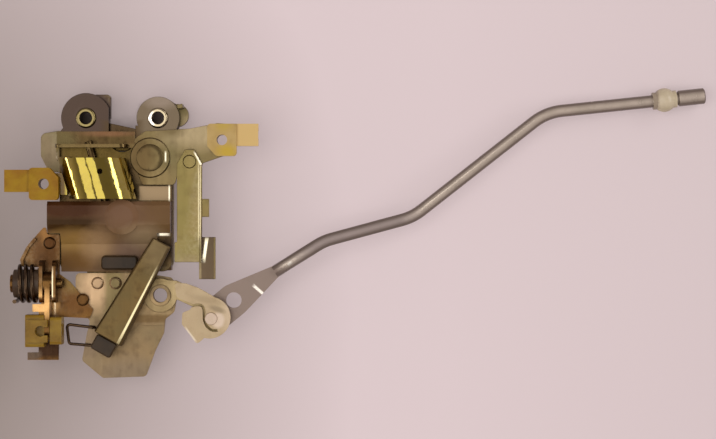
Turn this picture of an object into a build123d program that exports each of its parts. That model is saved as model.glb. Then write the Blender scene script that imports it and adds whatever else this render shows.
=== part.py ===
# Side door latch with its release and locking levers, nylon rod clips and a bent pull rod.
# Millimetres. X runs towards the far end of the pull rod, Y out of the striker mouth, Z from the
# door skin up to the levers. The origin lies on the mounting face, midway between the ear screws.
import os
from math import cos, radians, sin, tan

from build123d import *

os.makedirs("parts", exist_ok=True)

# Fits shared by every piece
running_fit = 0.06        # radial clearance of a lever on its pin
loose_fit = 0.4           # clearance between pieces that pass each other
screw_bore = 2.5          # radius of a tapped M6 hole
screw_clear = 3.3         # radius of an M6 clearance hole

# Latch body, seen from the door side
ear_spacing = 28.8
ear_radius = 10.0
right_ear_radius = 8.6
body_width = 45.0
body_length = 58.4
body_centre_x = -2.5
body_top_y = -3.0
body_corner = 4.0
mouth_width = 10.6
mouth_floor_y = -13.5
mouth_open_y = 14.0
screw_rise = 14.4

# Heights of the stack, from the mounting face up
face_thick = 2.0
fork_thick = 4.6
spring_room = 3.0
back_thick = 1.8
bracket_thick = 2.0
crank_plate_thick = 1.4
lever_thick = 2.0
link_thick = 1.8
return_spring_room = 3.2
fork_low = face_thick + loose_fit
fork_high = fork_low + fork_thick
back_low = fork_high + spring_room
back_high = back_low + back_thick
bracket_high = back_high + bracket_thick
crank_plate_high = bracket_high + crank_plate_thick
outer_low = back_high + return_spring_room
outer_high = outer_low + lever_thick
link_low = outer_high + loose_fit
link_high = link_low + link_thick
inner_low = bracket_high + loose_fit
inner_high = inner_low + lever_thick

left_ear = (-ear_spacing / 2, 0)
right_ear = (ear_spacing / 2, 0)
body_left = body_centre_x - body_width / 2
body_right = body_centre_x + body_width / 2
body_low_y = body_top_y - body_length
third_screw = (body_centre_x, body_low_y + screw_rise)

# Pivots of the levers on top of the body
outer_pivot = (11.6, -16.0)
inner_pivot = (15.6, body_low_y - 9.4)
link_pin_spot = (27.4, -17.6)
rod_pin_spot = (36.0, body_low_y - 18.6)
outer_clip_spot = (40.4, -9.0)
rocker_clip_spot = (-30.0, -26.5)
crank_axis_y = body_low_y - 4.6
crank_axis_z = 21.0
from_base = (Align.CENTER, Align.CENTER, Align.MIN)


def finish(piece, name):
    piece.part.label = name
    export_step(piece.part, f"parts/{name}.step")


def below_foot(corners):
    # Corners whose Y is measured from the foot of the body
    return [(x, body_low_y + y) for x, y in corners]


def polar_point(reach, angle):
    return (reach * cos(radians(angle)), reach * sin(radians(angle)))


def turned_section(centre, outline):
    # Half section of a piece turned about the vertical axis through centre
    with BuildSketch(Plane(origin=(*centre, 0), x_dir=(1, 0, 0), z_dir=(0, -1, 0))) as section:
        with BuildLine():
            Polyline(*outline, close=True)
        make_face()
    return section.sketch


def rounded_face(points, radius, plane=Plane.XY):
    # A flat outline with rounded corners
    with BuildSketch(plane) as outline:
        with BuildLine():
            FilletPolyline(*points, radius=radius, close=True)
        make_face()
    return outline.sketch


def body_outline(inset=0):
    # The rectangle below the ears, drawn into the sketch that calls this
    with Locations((body_centre_x, body_top_y - body_length / 2)):
        RectangleRounded(body_width - 2 * inset, body_length - 2 * inset, body_corner - inset)


def mouth_cut():
    # Striker mouth, round at its floor and open past the ears
    floor_centre = mouth_floor_y + mouth_width / 2
    with Locations((0, floor_centre)):
        Circle(mouth_width / 2, mode=Mode.SUBTRACT)
    with Locations((0, (floor_centre + mouth_open_y) / 2)):
        Rectangle(mouth_width, mouth_open_y - floor_centre, mode=Mode.SUBTRACT)


# Face plate: the steel plate that screws to the door, with a folded wall on its left
wall_thick = 1.6
stud_neck = 4.0
left_lobe = [(-33.6, -6.0), (-24.0, -4.4), (-24.0, -22.0), (-30.6, -21.0), (-33.6, -15.0)]
lobe_corner = 2.4
with BuildPart() as face_plate:
    with BuildSketch():
        body_outline()
        add(rounded_face(left_lobe, lobe_corner))
        with Locations(left_ear, right_ear):
            Circle(right_ear_radius)
        mouth_cut()
        with Locations(left_ear, right_ear):
            Circle(stud_neck, mode=Mode.SUBTRACT)
        with Locations(third_screw):
            Circle(screw_clear, mode=Mode.SUBTRACT)
    extrude(amount=face_thick)
    with BuildSketch(Plane.XY.offset(face_thick)):
        with Locations((body_left + wall_thick / 2, body_top_y - body_length / 2)):
            Rectangle(wall_thick, body_length - 2 * body_corner)
    extrude(amount=back_low - face_thick)
finish(face_plate, "face_plate")

# Pivot studs: hollow, tapped for the ear screws, and shouldered to carry both plates
stud_shank = 4.6
stud_collar = 5.6
stud_stand = 1.5
collar_gap = 0.05
for side, ear in (("left", left_ear), ("right", right_ear)):
    with BuildPart() as stud:
        profile = turned_section(ear, [
            (screw_bore, 0),
            (stud_neck, 0),
            (stud_neck, face_thick),
            (stud_collar, face_thick),
            (stud_collar, fork_low - collar_gap),
            (stud_shank, fork_low - collar_gap),
            (stud_shank, back_low),
            (stud_neck, back_low),
            (stud_neck, back_high + stud_stand),
            (screw_bore, back_high + stud_stand),
        ])
        revolve(profile, axis=Axis((*ear, 0), (0, 0, 1)))
        top_rims = stud.edges().filter_by(GeomType.CIRCLE).group_by(Axis.Z)[-1]
        fillet(top_rims.sort_by(SortBy.RADIUS)[-1], (stud_neck - screw_bore) / 2)
    finish(stud, f"pivot_stud_{side}")

# Fork: turns on the left stud. Its lower horn lies across the mouth while the latch is open, and
# its upper horn closes over the striker.
fork_hub = 9.2
fork_reach = 20.8
horn_tip_angle = -12.0
horn_back_angle = -52.0
upper_horn_side = ear_spacing / 2 - mouth_width / 2 + loose_fit
upper_horn_width = 6.2
upper_horn_length = 9.6
fork_corner = 1.6
fork_plane = Plane(origin=(*left_ear, fork_low))
horn_tip = polar_point(fork_reach, horn_tip_angle)
horn_middle = polar_point(fork_reach, (horn_tip_angle + horn_back_angle) / 2)
horn_back = polar_point(fork_reach, horn_back_angle)
with BuildPart() as fork:
    with BuildSketch(fork_plane):
        Circle(fork_hub)
        with BuildLine():
            Line((0, 0), horn_tip)
            ThreePointArc(horn_tip, horn_middle, horn_back)
            Line(horn_back, (0, 0))
        make_face()
        with Locations((upper_horn_side - upper_horn_width / 2, upper_horn_length / 2)):
            Rectangle(upper_horn_width, upper_horn_length)
        Circle(stud_shank + running_fit, mode=Mode.SUBTRACT)
    extrude(amount=fork_thick)
    horn_corners = fork.edges().filter_by(Axis.Z).sort_by_distance((*left_ear, fork_low))[-3:]
    fillet(horn_corners, fork_corner)
finish(fork, "fork")

# Pawl: drawn where it holds the closed fork, then swung out to where the open fork keeps it
pawl_swing = 14.0
pawl_hub = 7.3
nose_angle = -54.0
nose_reach = fork_reach - 0.6
arm_clear = fork_reach + 0.8
pawl_arm_width = 6.0
tail_spot = (7.4, -0.6)
tail_radius = 4.6
tail_tab = (8.9, 1.4, 2.1, 1.6)
pawl_plane = Plane(
    origin=(*right_ear, fork_low),
    x_dir=(cos(radians(pawl_swing)), sin(radians(pawl_swing)), 0),
    z_dir=(0, 0, 1),
)


def pawl_point(reach, angle):
    # A point given by its distance and angle from the fork's pivot, seen from the pawl's
    spot = polar_point(reach, angle)
    return (spot[0] - ear_spacing, spot[1])


with BuildPart() as pawl:
    with BuildSketch(pawl_plane):
        with BuildLine():
            Polyline(
                (-pawl_hub, 0),
                pawl_point(arm_clear, -24),
                pawl_point(arm_clear, -42),
                pawl_point(nose_reach, nose_angle),
                pawl_point(nose_reach + pawl_arm_width, nose_angle),
                pawl_point(arm_clear + pawl_arm_width, -38),
                (pawl_hub * 0.6, -pawl_hub * 0.8),
                close=True,
            )
        make_face()
        Circle(pawl_hub)
        with Locations(tail_spot):
            Circle(tail_radius)
        Circle(stud_shank + running_fit, mode=Mode.SUBTRACT)
    extrude(amount=fork_thick)
    with BuildSketch(pawl_plane.offset(fork_thick)):
        with Locations((tail_tab[0], tail_tab[1])):
            Rectangle(tail_tab[2], tail_tab[3], align=Align.MIN)
    extrude(amount=outer_high - fork_high)
finish(pawl, "pawl")

# Torsion springs of the fork and the pawl, in the room above them
spring_wire = 0.5
spring_radius = 6.2
spring_turns = 1.5
spring_pitch = 1.1
spring_leg = 6.0
for name, ear, lefthand in (("fork_spring", left_ear, False), ("pawl_spring", right_ear, True)):
    low = fork_high + spring_wire + loose_fit / 2
    start = (ear[0] + spring_radius, ear[1], low)
    with BuildPart() as spring:
        with BuildLine():
            Helix(spring_pitch, spring_pitch * spring_turns, spring_radius, (*ear, low), lefthand=lefthand)
        with BuildSketch(Plane(origin=start, z_dir=(0, 1, 0))):
            Circle(spring_wire)
        sweep()
        with Locations(Plane(origin=start, z_dir=(0, 1 if lefthand else -1, 0))):
            Cylinder(spring_wire, spring_leg, align=from_base)
    finish(spring, name)

# Housing tray: the moulded U between the two plates, with the tapped bush of the third screw
tray_wall = 2.0
tray_floor_y = -28.0
bush_radius = 5.0
tray_left = body_left + wall_thick + running_fit
tray_right = body_right - loose_fit
tray_top = body_top_y - body_corner
tray_low = body_low_y + loose_fit
with BuildPart() as housing_tray:
    with BuildSketch(Plane.XY.offset(face_thick)):
        with Locations(((tray_left + tray_right) / 2, (tray_top + tray_low) / 2)):
            Rectangle(tray_right - tray_left, tray_top - tray_low)
        with Locations((tray_left + tray_wall, tray_floor_y)):
            Rectangle(
                tray_right - tray_left - 2 * tray_wall,
                tray_top - tray_floor_y,
                align=Align.MIN,
                mode=Mode.SUBTRACT,
            )
        with Locations(left_ear):
            Circle(fork_hub + loose_fit, mode=Mode.SUBTRACT)
        with Locations(right_ear):
            Circle(pawl_hub + tail_radius + loose_fit, mode=Mode.SUBTRACT)
        with Locations(third_screw):
            Circle(bush_radius, mode=Mode.SUBTRACT)
    extrude(amount=back_low - face_thick)
finish(housing_tray, "housing_tray")

with BuildPart() as screw_bush:
    with BuildSketch(Plane.XY.offset(face_thick)):
        with Locations(third_screw):
            RegularPolygon(bush_radius, 6)
            Circle(screw_bore, mode=Mode.SUBTRACT)
    extrude(amount=back_low - face_thick)
finish(screw_bush, "screw_bush")

# Cushion that stops the striker at the floor of the mouth, under the back plate
cushion_thick = 2.4
cushion_width = mouth_width - 1.0
with BuildPart() as mouth_cushion:
    with BuildSketch(Plane.XY.offset(back_low - cushion_thick)):
        with Locations((0, mouth_floor_y - 1.4)):
            RectangleRounded(cushion_width, 4.0, 1.2)
    extrude(amount=cushion_thick)
finish(mouth_cushion, "mouth_cushion")

# Back plate: carries the ears, the levers and a tongue for the lower bracket
tongue_left = -14.0
tongue_right = 9.0
tongue_low_y = body_low_y - 8.6
lug_spot = (body_left - 3.6, body_low_y + 11.4)
lug_radius = 4.4
lever_stud_neck = 2.6
tongue_rivets = ((-9.6, body_low_y - 4.6), (-2.4, body_low_y - 4.6))
rivet_radius = 1.5
with BuildPart() as back_plate:
    with BuildSketch(Plane.XY.offset(back_low)):
        body_outline()
        with Locations(left_ear):
            Circle(ear_radius)
        with Locations(right_ear):
            Circle(right_ear_radius)
        with Locations(((tongue_left + tongue_right) / 2, (tongue_low_y + body_low_y) / 2)):
            Rectangle(tongue_right - tongue_left, body_low_y - tongue_low_y + 1)
        with Locations(lug_spot):
            Circle(lug_radius)
            Rectangle(2 * lug_radius, 2 * lug_radius, align=(Align.MIN, Align.CENTER))
        mouth_cut()
        with Locations(left_ear, right_ear):
            Circle(stud_neck, mode=Mode.SUBTRACT)
        with Locations(outer_pivot):
            Circle(lever_stud_neck, mode=Mode.SUBTRACT)
        with Locations(lug_spot, *tongue_rivets):
            Circle(rivet_radius, mode=Mode.SUBTRACT)
    extrude(amount=back_thick)
finish(back_plate, "back_plate")

# Shelf bracket: folded sheet across the body below the mouth, which carries the rocker's axle
shelf_thick = 1.4
shelf_left = -26.0
shelf_right = 2.6
shelf_low_right = 5.4
shelf_back_y = -5.4
shelf_front_y = -12.0
shelf_high = 21.5
gusset_right = -20.5
gusset_low_y = -17.0
gusset_high = 16.0
rocker_lean = 16.0
rocker_centre = (-8.8, -25.2)
rocker_z = 14.6
axle_radius = 1.6


def axle_x(y):
    # Where the leaning axle of the rocker is at a given Y
    return rocker_centre[0] - (y - rocker_centre[1]) * tan(radians(rocker_lean))


axle_direction = (sin(radians(rocker_lean)), -cos(radians(rocker_lean)), 0)
axle_start_y = shelf_front_y + shelf_thick + 1.2
axle_end_y = -37.0
axle_length = (axle_start_y - axle_end_y) / cos(radians(rocker_lean))
axle_plane = Plane(origin=(axle_x(axle_start_y), axle_start_y, rocker_z), z_dir=axle_direction)
with BuildPart() as shelf_bracket:
    with BuildSketch(Plane.XY.offset(back_high)):
        with Locations((shelf_left, shelf_front_y)):
            Rectangle(shelf_low_right - shelf_left, shelf_back_y - shelf_front_y, align=Align.MIN)
    extrude(amount=shelf_thick)
    with BuildSketch(Plane.XY.offset(back_high)):
        with Locations((shelf_left, shelf_front_y)):
            Rectangle(shelf_right - shelf_left, shelf_thick, align=Align.MIN)
    extrude(amount=shelf_high - back_high)
    with BuildSketch(Plane.XY.offset(back_high)):
        with Locations((shelf_left, gusset_low_y)):
            Rectangle(shelf_thick, shelf_front_y - gusset_low_y + shelf_thick, align=Align.MIN)
            Rectangle(gusset_right - shelf_left, shelf_thick, align=Align.MIN)
    extrude(amount=gusset_high - back_high)
    top_corners = shelf_bracket.edges().filter_by(Axis.Y).group_by(Axis.Z)[-1]
    fillet(top_corners, 3.0)
    with Locations(axle_plane):
        Cylinder(axle_radius, axle_length, align=from_base, mode=Mode.SUBTRACT)
finish(shelf_bracket, "shelf_bracket")

with BuildPart() as rocker_axle:
    with Locations(axle_plane):
        Cylinder(axle_radius, axle_length, align=from_base)
finish(rocker_axle, "rocker_axle")

# Nylon rod clip: a body with a bored peg that snaps into a lever, and a jaw that grips the rod
clip_thick = 5.2
clip_half_width = 6.4
clip_half_length = 5.8
clip_peg = 3.2
clip_bore = 2.1
clip_barb = 0.5
jaw_half_width = 4.4
jaw_drop = 1.6


def rod_clip(seat, plate_thick, jaw_length, jaw_shift, clip_thick=clip_thick):
    # seat lies on the lever's face at the peg, with its X towards the jaw
    peg_low = plate_thick + 2.4
    barb_low = plate_thick + collar_gap
    with BuildPart() as clip:
        body_corners = [
            (clip_half_length, -clip_half_width),
            (clip_half_length, clip_half_width),
            (-clip_half_length, clip_half_width),
            (-clip_half_length, -clip_half_width * 0.4),
            (-clip_half_length * 0.4, -clip_half_width),
        ]
        extrude(rounded_face(body_corners, 1.4, seat), amount=clip_thick)
        jaw_left = clip_half_length - 1.5
        with BuildSketch(seat.offset(-jaw_drop)):
            with Locations((jaw_left, jaw_shift)):
                Rectangle(jaw_length + 1.5, 2 * jaw_half_width, align=(Align.MIN, Align.CENTER))
        extrude(amount=clip_thick + jaw_drop - 0.6)
        with BuildSketch(seat):
            Circle(clip_peg)
        extrude(amount=-peg_low)
        with BuildSketch(seat.offset(-barb_low)):
            Circle(clip_peg + clip_barb)
        extrude(amount=-(peg_low - barb_low), taper=20)
        with BuildSketch(seat):
            Circle(clip_bore)
        extrude(amount=clip_thick + peg_low, both=True, mode=Mode.SUBTRACT)
        groove = Plane(
            origin=seat.from_local_coords((jaw_left, jaw_shift, 1.2)),
            x_dir=seat.y_dir,
            z_dir=seat.x_dir,
        )
        with BuildSketch(groove):
            Circle(clip_bore)
            Rectangle(1.6 * clip_bore, 3 * clip_bore, align=(Align.CENTER, Align.MAX))
        extrude(amount=jaw_length + 3, mode=Mode.SUBTRACT)
    return clip


# Locking rocker: rolled sheet on the leaning axle, with end webs and an arm for the left rod clip
rocker_radius = 14.2
rocker_half_angle = 66.0
rocker_sheet = 1.3
rocker_top_y = -16.2
rocker_low_y = -32.4
rocker_web = 1.4
rocker_hub = 2.7
rocker_arm_low = 18.2
rocker_arm_thick = 1.8
rocker_arm_width = 8.6
rocker_arm_left = rocker_clip_spot[0] - 4.0
rocker_arm_right = -21.2
rocker_notch = (-7.4, -21.6)
rocker_notch_radius = 1.1
rocker_plane = Plane(
    origin=(*rocker_centre, rocker_z),
    x_dir=(cos(radians(rocker_lean)), sin(radians(rocker_lean)), 0),
    z_dir=axle_direction,
)
outer_left = polar_point(rocker_radius, 90 + rocker_half_angle)
outer_right = polar_point(rocker_radius, 90 - rocker_half_angle)
inner_left = polar_point(rocker_radius - rocker_sheet, 90 + rocker_half_angle)
inner_right = polar_point(rocker_radius - rocker_sheet, 90 - rocker_half_angle)
rocker_middle_y = (rocker_top_y + rocker_low_y) / 2
rocker_width = 3 * rocker_radius
with BuildPart() as rocker_skin:
    with BuildSketch(rocker_plane):
        with BuildLine():
            ThreePointArc(outer_left, (0, rocker_radius), outer_right)
            Line(outer_right, inner_right)
            ThreePointArc(inner_right, (0, rocker_radius - rocker_sheet), inner_left)
            Line(inner_left, outer_left)
        make_face()
    extrude(amount=2 * rocker_radius, both=True)
    with BuildSketch(Plane.XY):
        with Locations((rocker_centre[0], rocker_middle_y)):
            Rectangle(rocker_width, rocker_top_y - rocker_low_y)
    extrude(amount=3 * rocker_radius, mode=Mode.INTERSECT)
with BuildPart() as rocker_webs:
    with BuildSketch(rocker_plane):
        with BuildLine():
            ThreePointArc(outer_left, (0, rocker_radius), outer_right)
            Polyline(outer_right, (rocker_hub, 0), (-rocker_hub, 0), outer_left)
        make_face()
        Circle(rocker_hub)
        Circle(axle_radius + running_fit, mode=Mode.SUBTRACT)
    extrude(amount=2 * rocker_radius, both=True)
    with BuildSketch(Plane.XY):
        for web_y in (rocker_top_y - rocker_web / 2, rocker_low_y + rocker_web / 2):
            with Locations((rocker_centre[0], web_y)):
                Rectangle(rocker_width, rocker_web)
    extrude(amount=3 * rocker_radius, mode=Mode.INTERSECT)
with BuildPart() as locking_rocker:
    add(rocker_skin.part)
    add(rocker_webs.part)
    with BuildSketch(Plane.XY.offset(rocker_arm_low)):
        with Locations((rocker_arm_left, rocker_clip_spot[1])):
            Rectangle(rocker_arm_right - rocker_arm_left, rocker_arm_width, align=(Align.MIN, Align.CENTER))
        with Locations(rocker_clip_spot):
            Circle(clip_peg + running_fit, mode=Mode.SUBTRACT)
    extrude(amount=rocker_arm_thick)
    with BuildSketch(Plane.XY.offset(rocker_z + rocker_hub)):
        with Locations(rocker_notch):
            Circle(rocker_notch_radius)
    extrude(amount=rocker_radius, mode=Mode.SUBTRACT)
finish(locking_rocker, "locking_rocker")

rocker_clip_seat = Plane(
    origin=(*rocker_clip_spot, rocker_arm_low + rocker_arm_thick),
    x_dir=(-1, 0, 0),
    z_dir=(0, 0, 1),
)
left_jaw_length = 9.8
left_jaw_shift = -1.2
left_rod_clip = rod_clip(rocker_clip_seat, rocker_arm_thick, left_jaw_length, left_jaw_shift)
finish(left_rod_clip, "left_rod_clip")

# Housing cover: brown moulding over the lower half of the body, with a high ridge and a slope
cover_wall = 2.0
cover_high = 22.0
cover_low_flat = 14.6
ridge_left = -29.0
ridge_right = 19.8
ridge_top_y = -33.4
ridge_low_y = -46.0
slope_left = -24.0
slope_right = 14.4
slope_low_y = body_low_y
cover_profile = [
    (ridge_top_y, back_high),
    (ridge_top_y, cover_high - 1.6),
    (ridge_top_y - 1.6, cover_high),
    (ridge_low_y + 3.4, cover_high),
    (ridge_low_y, cover_high - 2.4),
    (ridge_low_y - 4.4, cover_low_flat + 0.8),
    (slope_low_y, cover_low_flat),
    (slope_low_y, back_high),
]
bumper_spot = (-0.6, body_low_y + 3.6)
bumper_size = (14.6, 5.6)
bumper_high = 17.4
lump_spot = (0.6, -39.6)
lump_radius = 7.0
lump_rise = 1.6
lump_sphere = (lump_radius ** 2 + lump_rise ** 2) / (2 * lump_rise)


def cover_block(left, right, inset):
    # A length of the cover's profile, thinned by inset all round
    with BuildPart() as block:
        with BuildSketch(Plane.YZ.offset(left + inset)):
            with BuildLine():
                Polyline(*cover_profile, close=True)
            make_face()
            if inset:
                offset(amount=-inset, mode=Mode.REPLACE)
        extrude(amount=right - left - 2 * inset)
    return block.part


with BuildPart() as cover_ridge:
    add(cover_block(ridge_left, ridge_right, 0))
    with BuildSketch():
        with Locations((ridge_left, ridge_low_y)):
            Rectangle(ridge_right - ridge_left, ridge_top_y - ridge_low_y, align=Align.MIN)
    extrude(amount=cover_high, mode=Mode.INTERSECT)
with BuildPart() as cover_lump:
    with Locations((*lump_spot, cover_high + lump_rise - lump_sphere)):
        Sphere(lump_sphere)
    with BuildSketch(Plane.XY.offset(cover_high - cover_wall / 2)):
        with Locations(lump_spot):
            Circle(lump_radius)
    extrude(amount=cover_wall, mode=Mode.INTERSECT)
with BuildPart() as housing_cover:
    add(cover_block(slope_left, slope_right, 0))
    add(cover_ridge.part)
    add(cover_block(slope_left, slope_right, cover_wall), mode=Mode.SUBTRACT)
    with BuildSketch(Plane.XY.offset(back_high)):
        with Locations((slope_left + cover_wall, slope_low_y + cover_wall)):
            Rectangle(
                slope_right - slope_left - 2 * cover_wall,
                ridge_top_y - slope_low_y - 2 * cover_wall,
                align=Align.MIN,
            )
    extrude(amount=cover_wall, mode=Mode.SUBTRACT)
    add(cover_lump.part)
    with Locations(axle_plane):
        Cylinder(axle_radius, axle_length, align=from_base, mode=Mode.SUBTRACT)
    with BuildSketch(Plane.XY.offset(back_high)):
        with Locations(bumper_spot):
            RectangleRounded(bumper_size[0] + running_fit, bumper_size[1] + running_fit, 1.6)
    extrude(amount=cover_high, mode=Mode.SUBTRACT)
finish(housing_cover, "housing_cover")

with BuildPart() as stop_bumper:
    with BuildSketch(Plane.XY.offset(back_high)):
        with Locations(bumper_spot):
            RectangleRounded(*bumper_size, 1.5)
    extrude(amount=bumper_high - back_high)
    fillet(stop_bumper.faces().sort_by(Axis.Z)[-1].edges(), 0.9)
finish(stop_bumper, "stop_bumper")

# Lower bracket: the plate below the body that carries the inner lever
bracket_corners = below_foot([
    (-18.4, -0.6),
    (9.5, -0.6),
    (12.5, -1.2),
    (20.0, -2.4),
    (22.6, -7.6),
    (21.0, -16.2),
    (17.4, -19.0),
    (16.8, -24.6),
    (13.4, -31.6),
    (9.6, -42.0),
    (-7.6, -42.6),
    (-16.0, -35.6),
    (-14.0, -24.6),
    (-12.6, -19.6),
    (-18.4, -13.4),
])
bracket_corner = 1.8
bracket_left = -20.0
bracket_span = 44.0
step_y = body_low_y - 19.4
step_drop = 1.6
step_high = bracket_high - step_drop
lobe_rivet = (-15.4, body_low_y - 11.2)
eyelet_bore = 2.8
eyelet_tube = 3.5
eyelet_flange = 4.25
eyelet_flange_thick = 0.8
snap_wire_radius = 0.6
snap_bend = 1.2
snap_high = step_high + snap_bend
snap_corners = [
    (-10.8, body_low_y - 22.4, snap_high),
    (-22.0, body_low_y - 21.0, snap_high),
    (-21.0, body_low_y - 28.8, snap_high),
    (-10.8, body_low_y - 29.6, snap_high),
]
with BuildPart() as lower_bracket:
    with BuildSketch(Plane.XY.offset(back_high)):
        add(rounded_face(bracket_corners, bracket_corner))
        with Locations((bracket_left, step_y - bracket_thick)):
            Rectangle(bracket_span, body_length, align=Align.MIN, mode=Mode.INTERSECT)
        with Locations(inner_pivot):
            Circle(eyelet_tube, mode=Mode.SUBTRACT)
        with Locations(lobe_rivet, *tongue_rivets):
            Circle(rivet_radius, mode=Mode.SUBTRACT)
    extrude(amount=bracket_thick)
    with BuildSketch(Plane.XY.offset(back_high - step_drop)):
        add(rounded_face(bracket_corners, bracket_corner))
        with Locations((bracket_left, step_y)):
            Rectangle(bracket_span, body_length, align=(Align.MIN, Align.MAX), mode=Mode.INTERSECT)
        with Locations(snap_corners[0][:2], snap_corners[-1][:2]):
            Circle(snap_wire_radius, mode=Mode.SUBTRACT)
    extrude(amount=bracket_thick)
finish(lower_bracket, "lower_bracket")

# Eyelet: the hollow rivet that the inner lever turns on
with BuildPart() as inner_eyelet:
    profile = turned_section(inner_pivot, [
        (eyelet_bore, back_high - eyelet_flange_thick),
        (eyelet_flange, back_high - eyelet_flange_thick),
        (eyelet_flange, back_high),
        (eyelet_tube, back_high),
        (eyelet_tube, bracket_high),
        (eyelet_flange, bracket_high),
        (eyelet_flange, inner_low - collar_gap),
        (eyelet_tube, inner_low - collar_gap),
        (eyelet_tube, inner_high + collar_gap),
        (eyelet_flange, inner_high + collar_gap),
        (eyelet_flange, inner_high + eyelet_flange_thick),
        (eyelet_bore, inner_high + eyelet_flange_thick),
    ])
    revolve(profile, axis=Axis((*inner_pivot, 0), (0, 0, 1)))
finish(inner_eyelet, "inner_eyelet")

# Inner lever: pull of the rod turns it about the eyelet
channel_top = (16.6, body_low_y + 11.8)
channel_foot = (-5.0, body_low_y - 26.6)
channel_top_width = 8.2
channel_foot_width = 12.4
channel_length = ((channel_foot[0] - channel_top[0]) ** 2 + (channel_foot[1] - channel_top[1]) ** 2) ** 0.5
channel_seat_start = 16.8
channel_plane = Plane(
    origin=(*channel_top, inner_high),
    x_dir=(channel_foot[0] - channel_top[0], channel_foot[1] - channel_top[1], 0),
    z_dir=(0, 0, 1),
)
rod_pin_radius = 2.4
lever_lobe = 6.8
hook_end = 6.4
arm_corners = below_foot([
    (14.8, -3.0),
    (22.0, -3.5),
    (32.0, -8.0),
    (38.0, -12.6),
    (32.0, -18.6),
    (28.6, -14.0),
    (22.0, -11.0),
    (14.8, -15.8),
])


def channel_half_width(distance):
    # Half the width of the tapering channel at a distance from its top
    return (channel_top_width + (channel_foot_width - channel_top_width) * distance / channel_length) / 2


def channel_face(start, end, inset, height):
    # A stretch of the channel's plan, drawn above the inner lever
    with BuildSketch(channel_plane.offset(height)) as face:
        with BuildLine():
            Polyline(
                (start, channel_half_width(start) - inset),
                (end, channel_half_width(end) - inset),
                (end, -channel_half_width(end) + inset),
                (start, -channel_half_width(start) + inset),
                close=True,
            )
        make_face()
    return face.sketch


with BuildPart() as inner_lever:
    extrude(rounded_face(arm_corners, 1.6, Plane.XY.offset(inner_low)), amount=lever_thick)
    with BuildSketch(Plane.XY.offset(inner_low)):
        with Locations(inner_pivot):
            Circle(lever_lobe)
        with Locations(rod_pin_spot):
            Circle(hook_end)
    extrude(amount=lever_thick)
    extrude(channel_face(channel_seat_start, channel_length, 0, -lever_thick), amount=lever_thick)
    with BuildSketch(Plane.XY.offset(inner_low)):
        with Locations(inner_pivot):
            Circle(eyelet_tube + running_fit)
        with Locations(rod_pin_spot):
            Circle(rod_pin_radius + running_fit)
    extrude(amount=lever_thick, mode=Mode.SUBTRACT)
finish(inner_lever, "inner_lever")

# Lever channel: folded stiffener on the inner lever, raised at its top to pass over the cover
channel_sheet = 1.4
channel_rise = 6.2
channel_pass_high = link_high + loose_fit
with BuildPart() as lever_channel:
    extrude(channel_face(0, channel_length, 0, 0), amount=channel_rise)
    long_edges = lever_channel.edges().group_by(Axis.Z)[-1].sort_by(SortBy.LENGTH)[-2:]
    fillet(long_edges, channel_sheet * 0.9)
    extrude(
        channel_face(-1, channel_length + 1, channel_sheet, 0),
        amount=channel_rise - channel_sheet,
        mode=Mode.SUBTRACT,
    )
    extrude(
        channel_face(-1, channel_seat_start, -1, 0),
        amount=channel_pass_high - inner_high,
        mode=Mode.SUBTRACT,
    )
finish(lever_channel, "lever_channel")

# Bump stop: rubber block on the foot of the channel
stop_length = 6.4
stop_width = 9.0
with BuildPart() as bump_stop:
    with BuildSketch(channel_plane):
        with Locations((channel_length + running_fit, 0)):
            RectangleRounded(stop_length, stop_width, 1.0, align=(Align.MIN, Align.CENTER))
    extrude(amount=channel_rise - 1.2)
finish(bump_stop, "bump_stop")

# Hook clip: pale nylon eye round the rod's pin, with the curved slit that lets it snap on
hook_centre = (35.4, body_low_y - 18.2)
hook_radius = 8.3
hook_thick = 3.8
hook_slit = 1.1
hook_arm = below_foot([
    (21.4, -4.4),
    (26.0, -4.6),
    (31.0, -6.4),
    (38.0, -10.4),
    (36.0, -16.0),
    (28.4, -12.6),
    (22.4, -10.2),
])
hook_block = below_foot([
    (24.6, -16.2),
    (29.4, -14.4),
    (35.0, -14.8),
    (36.0, -24.0),
    (30.4, -28.8),
    (27.2, -24.4),
    (24.4, -20.8),
])
hook_slit_line = below_foot([(28.2, -13.6), (33.0, -14.4), (33.4, -19.0), (35.2, -22.4), (38.6, -23.2)])
with BuildPart() as hook_clip:
    with BuildSketch(Plane.XY.offset(inner_high)):
        with Locations(hook_centre):
            Circle(hook_radius)
        add(rounded_face(hook_arm, 1.0))
        add(rounded_face(hook_block, 1.2))
        with Locations(rod_pin_spot):
            Circle(rod_pin_radius + running_fit, mode=Mode.SUBTRACT)
    extrude(amount=hook_thick)
    with BuildSketch(Plane.XY.offset(inner_high)):
        with BuildLine():
            Spline(*hook_slit_line)
        trace(line_width=hook_slit)
    extrude(amount=hook_thick, mode=Mode.SUBTRACT)
finish(hook_clip, "hook_clip")

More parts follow.
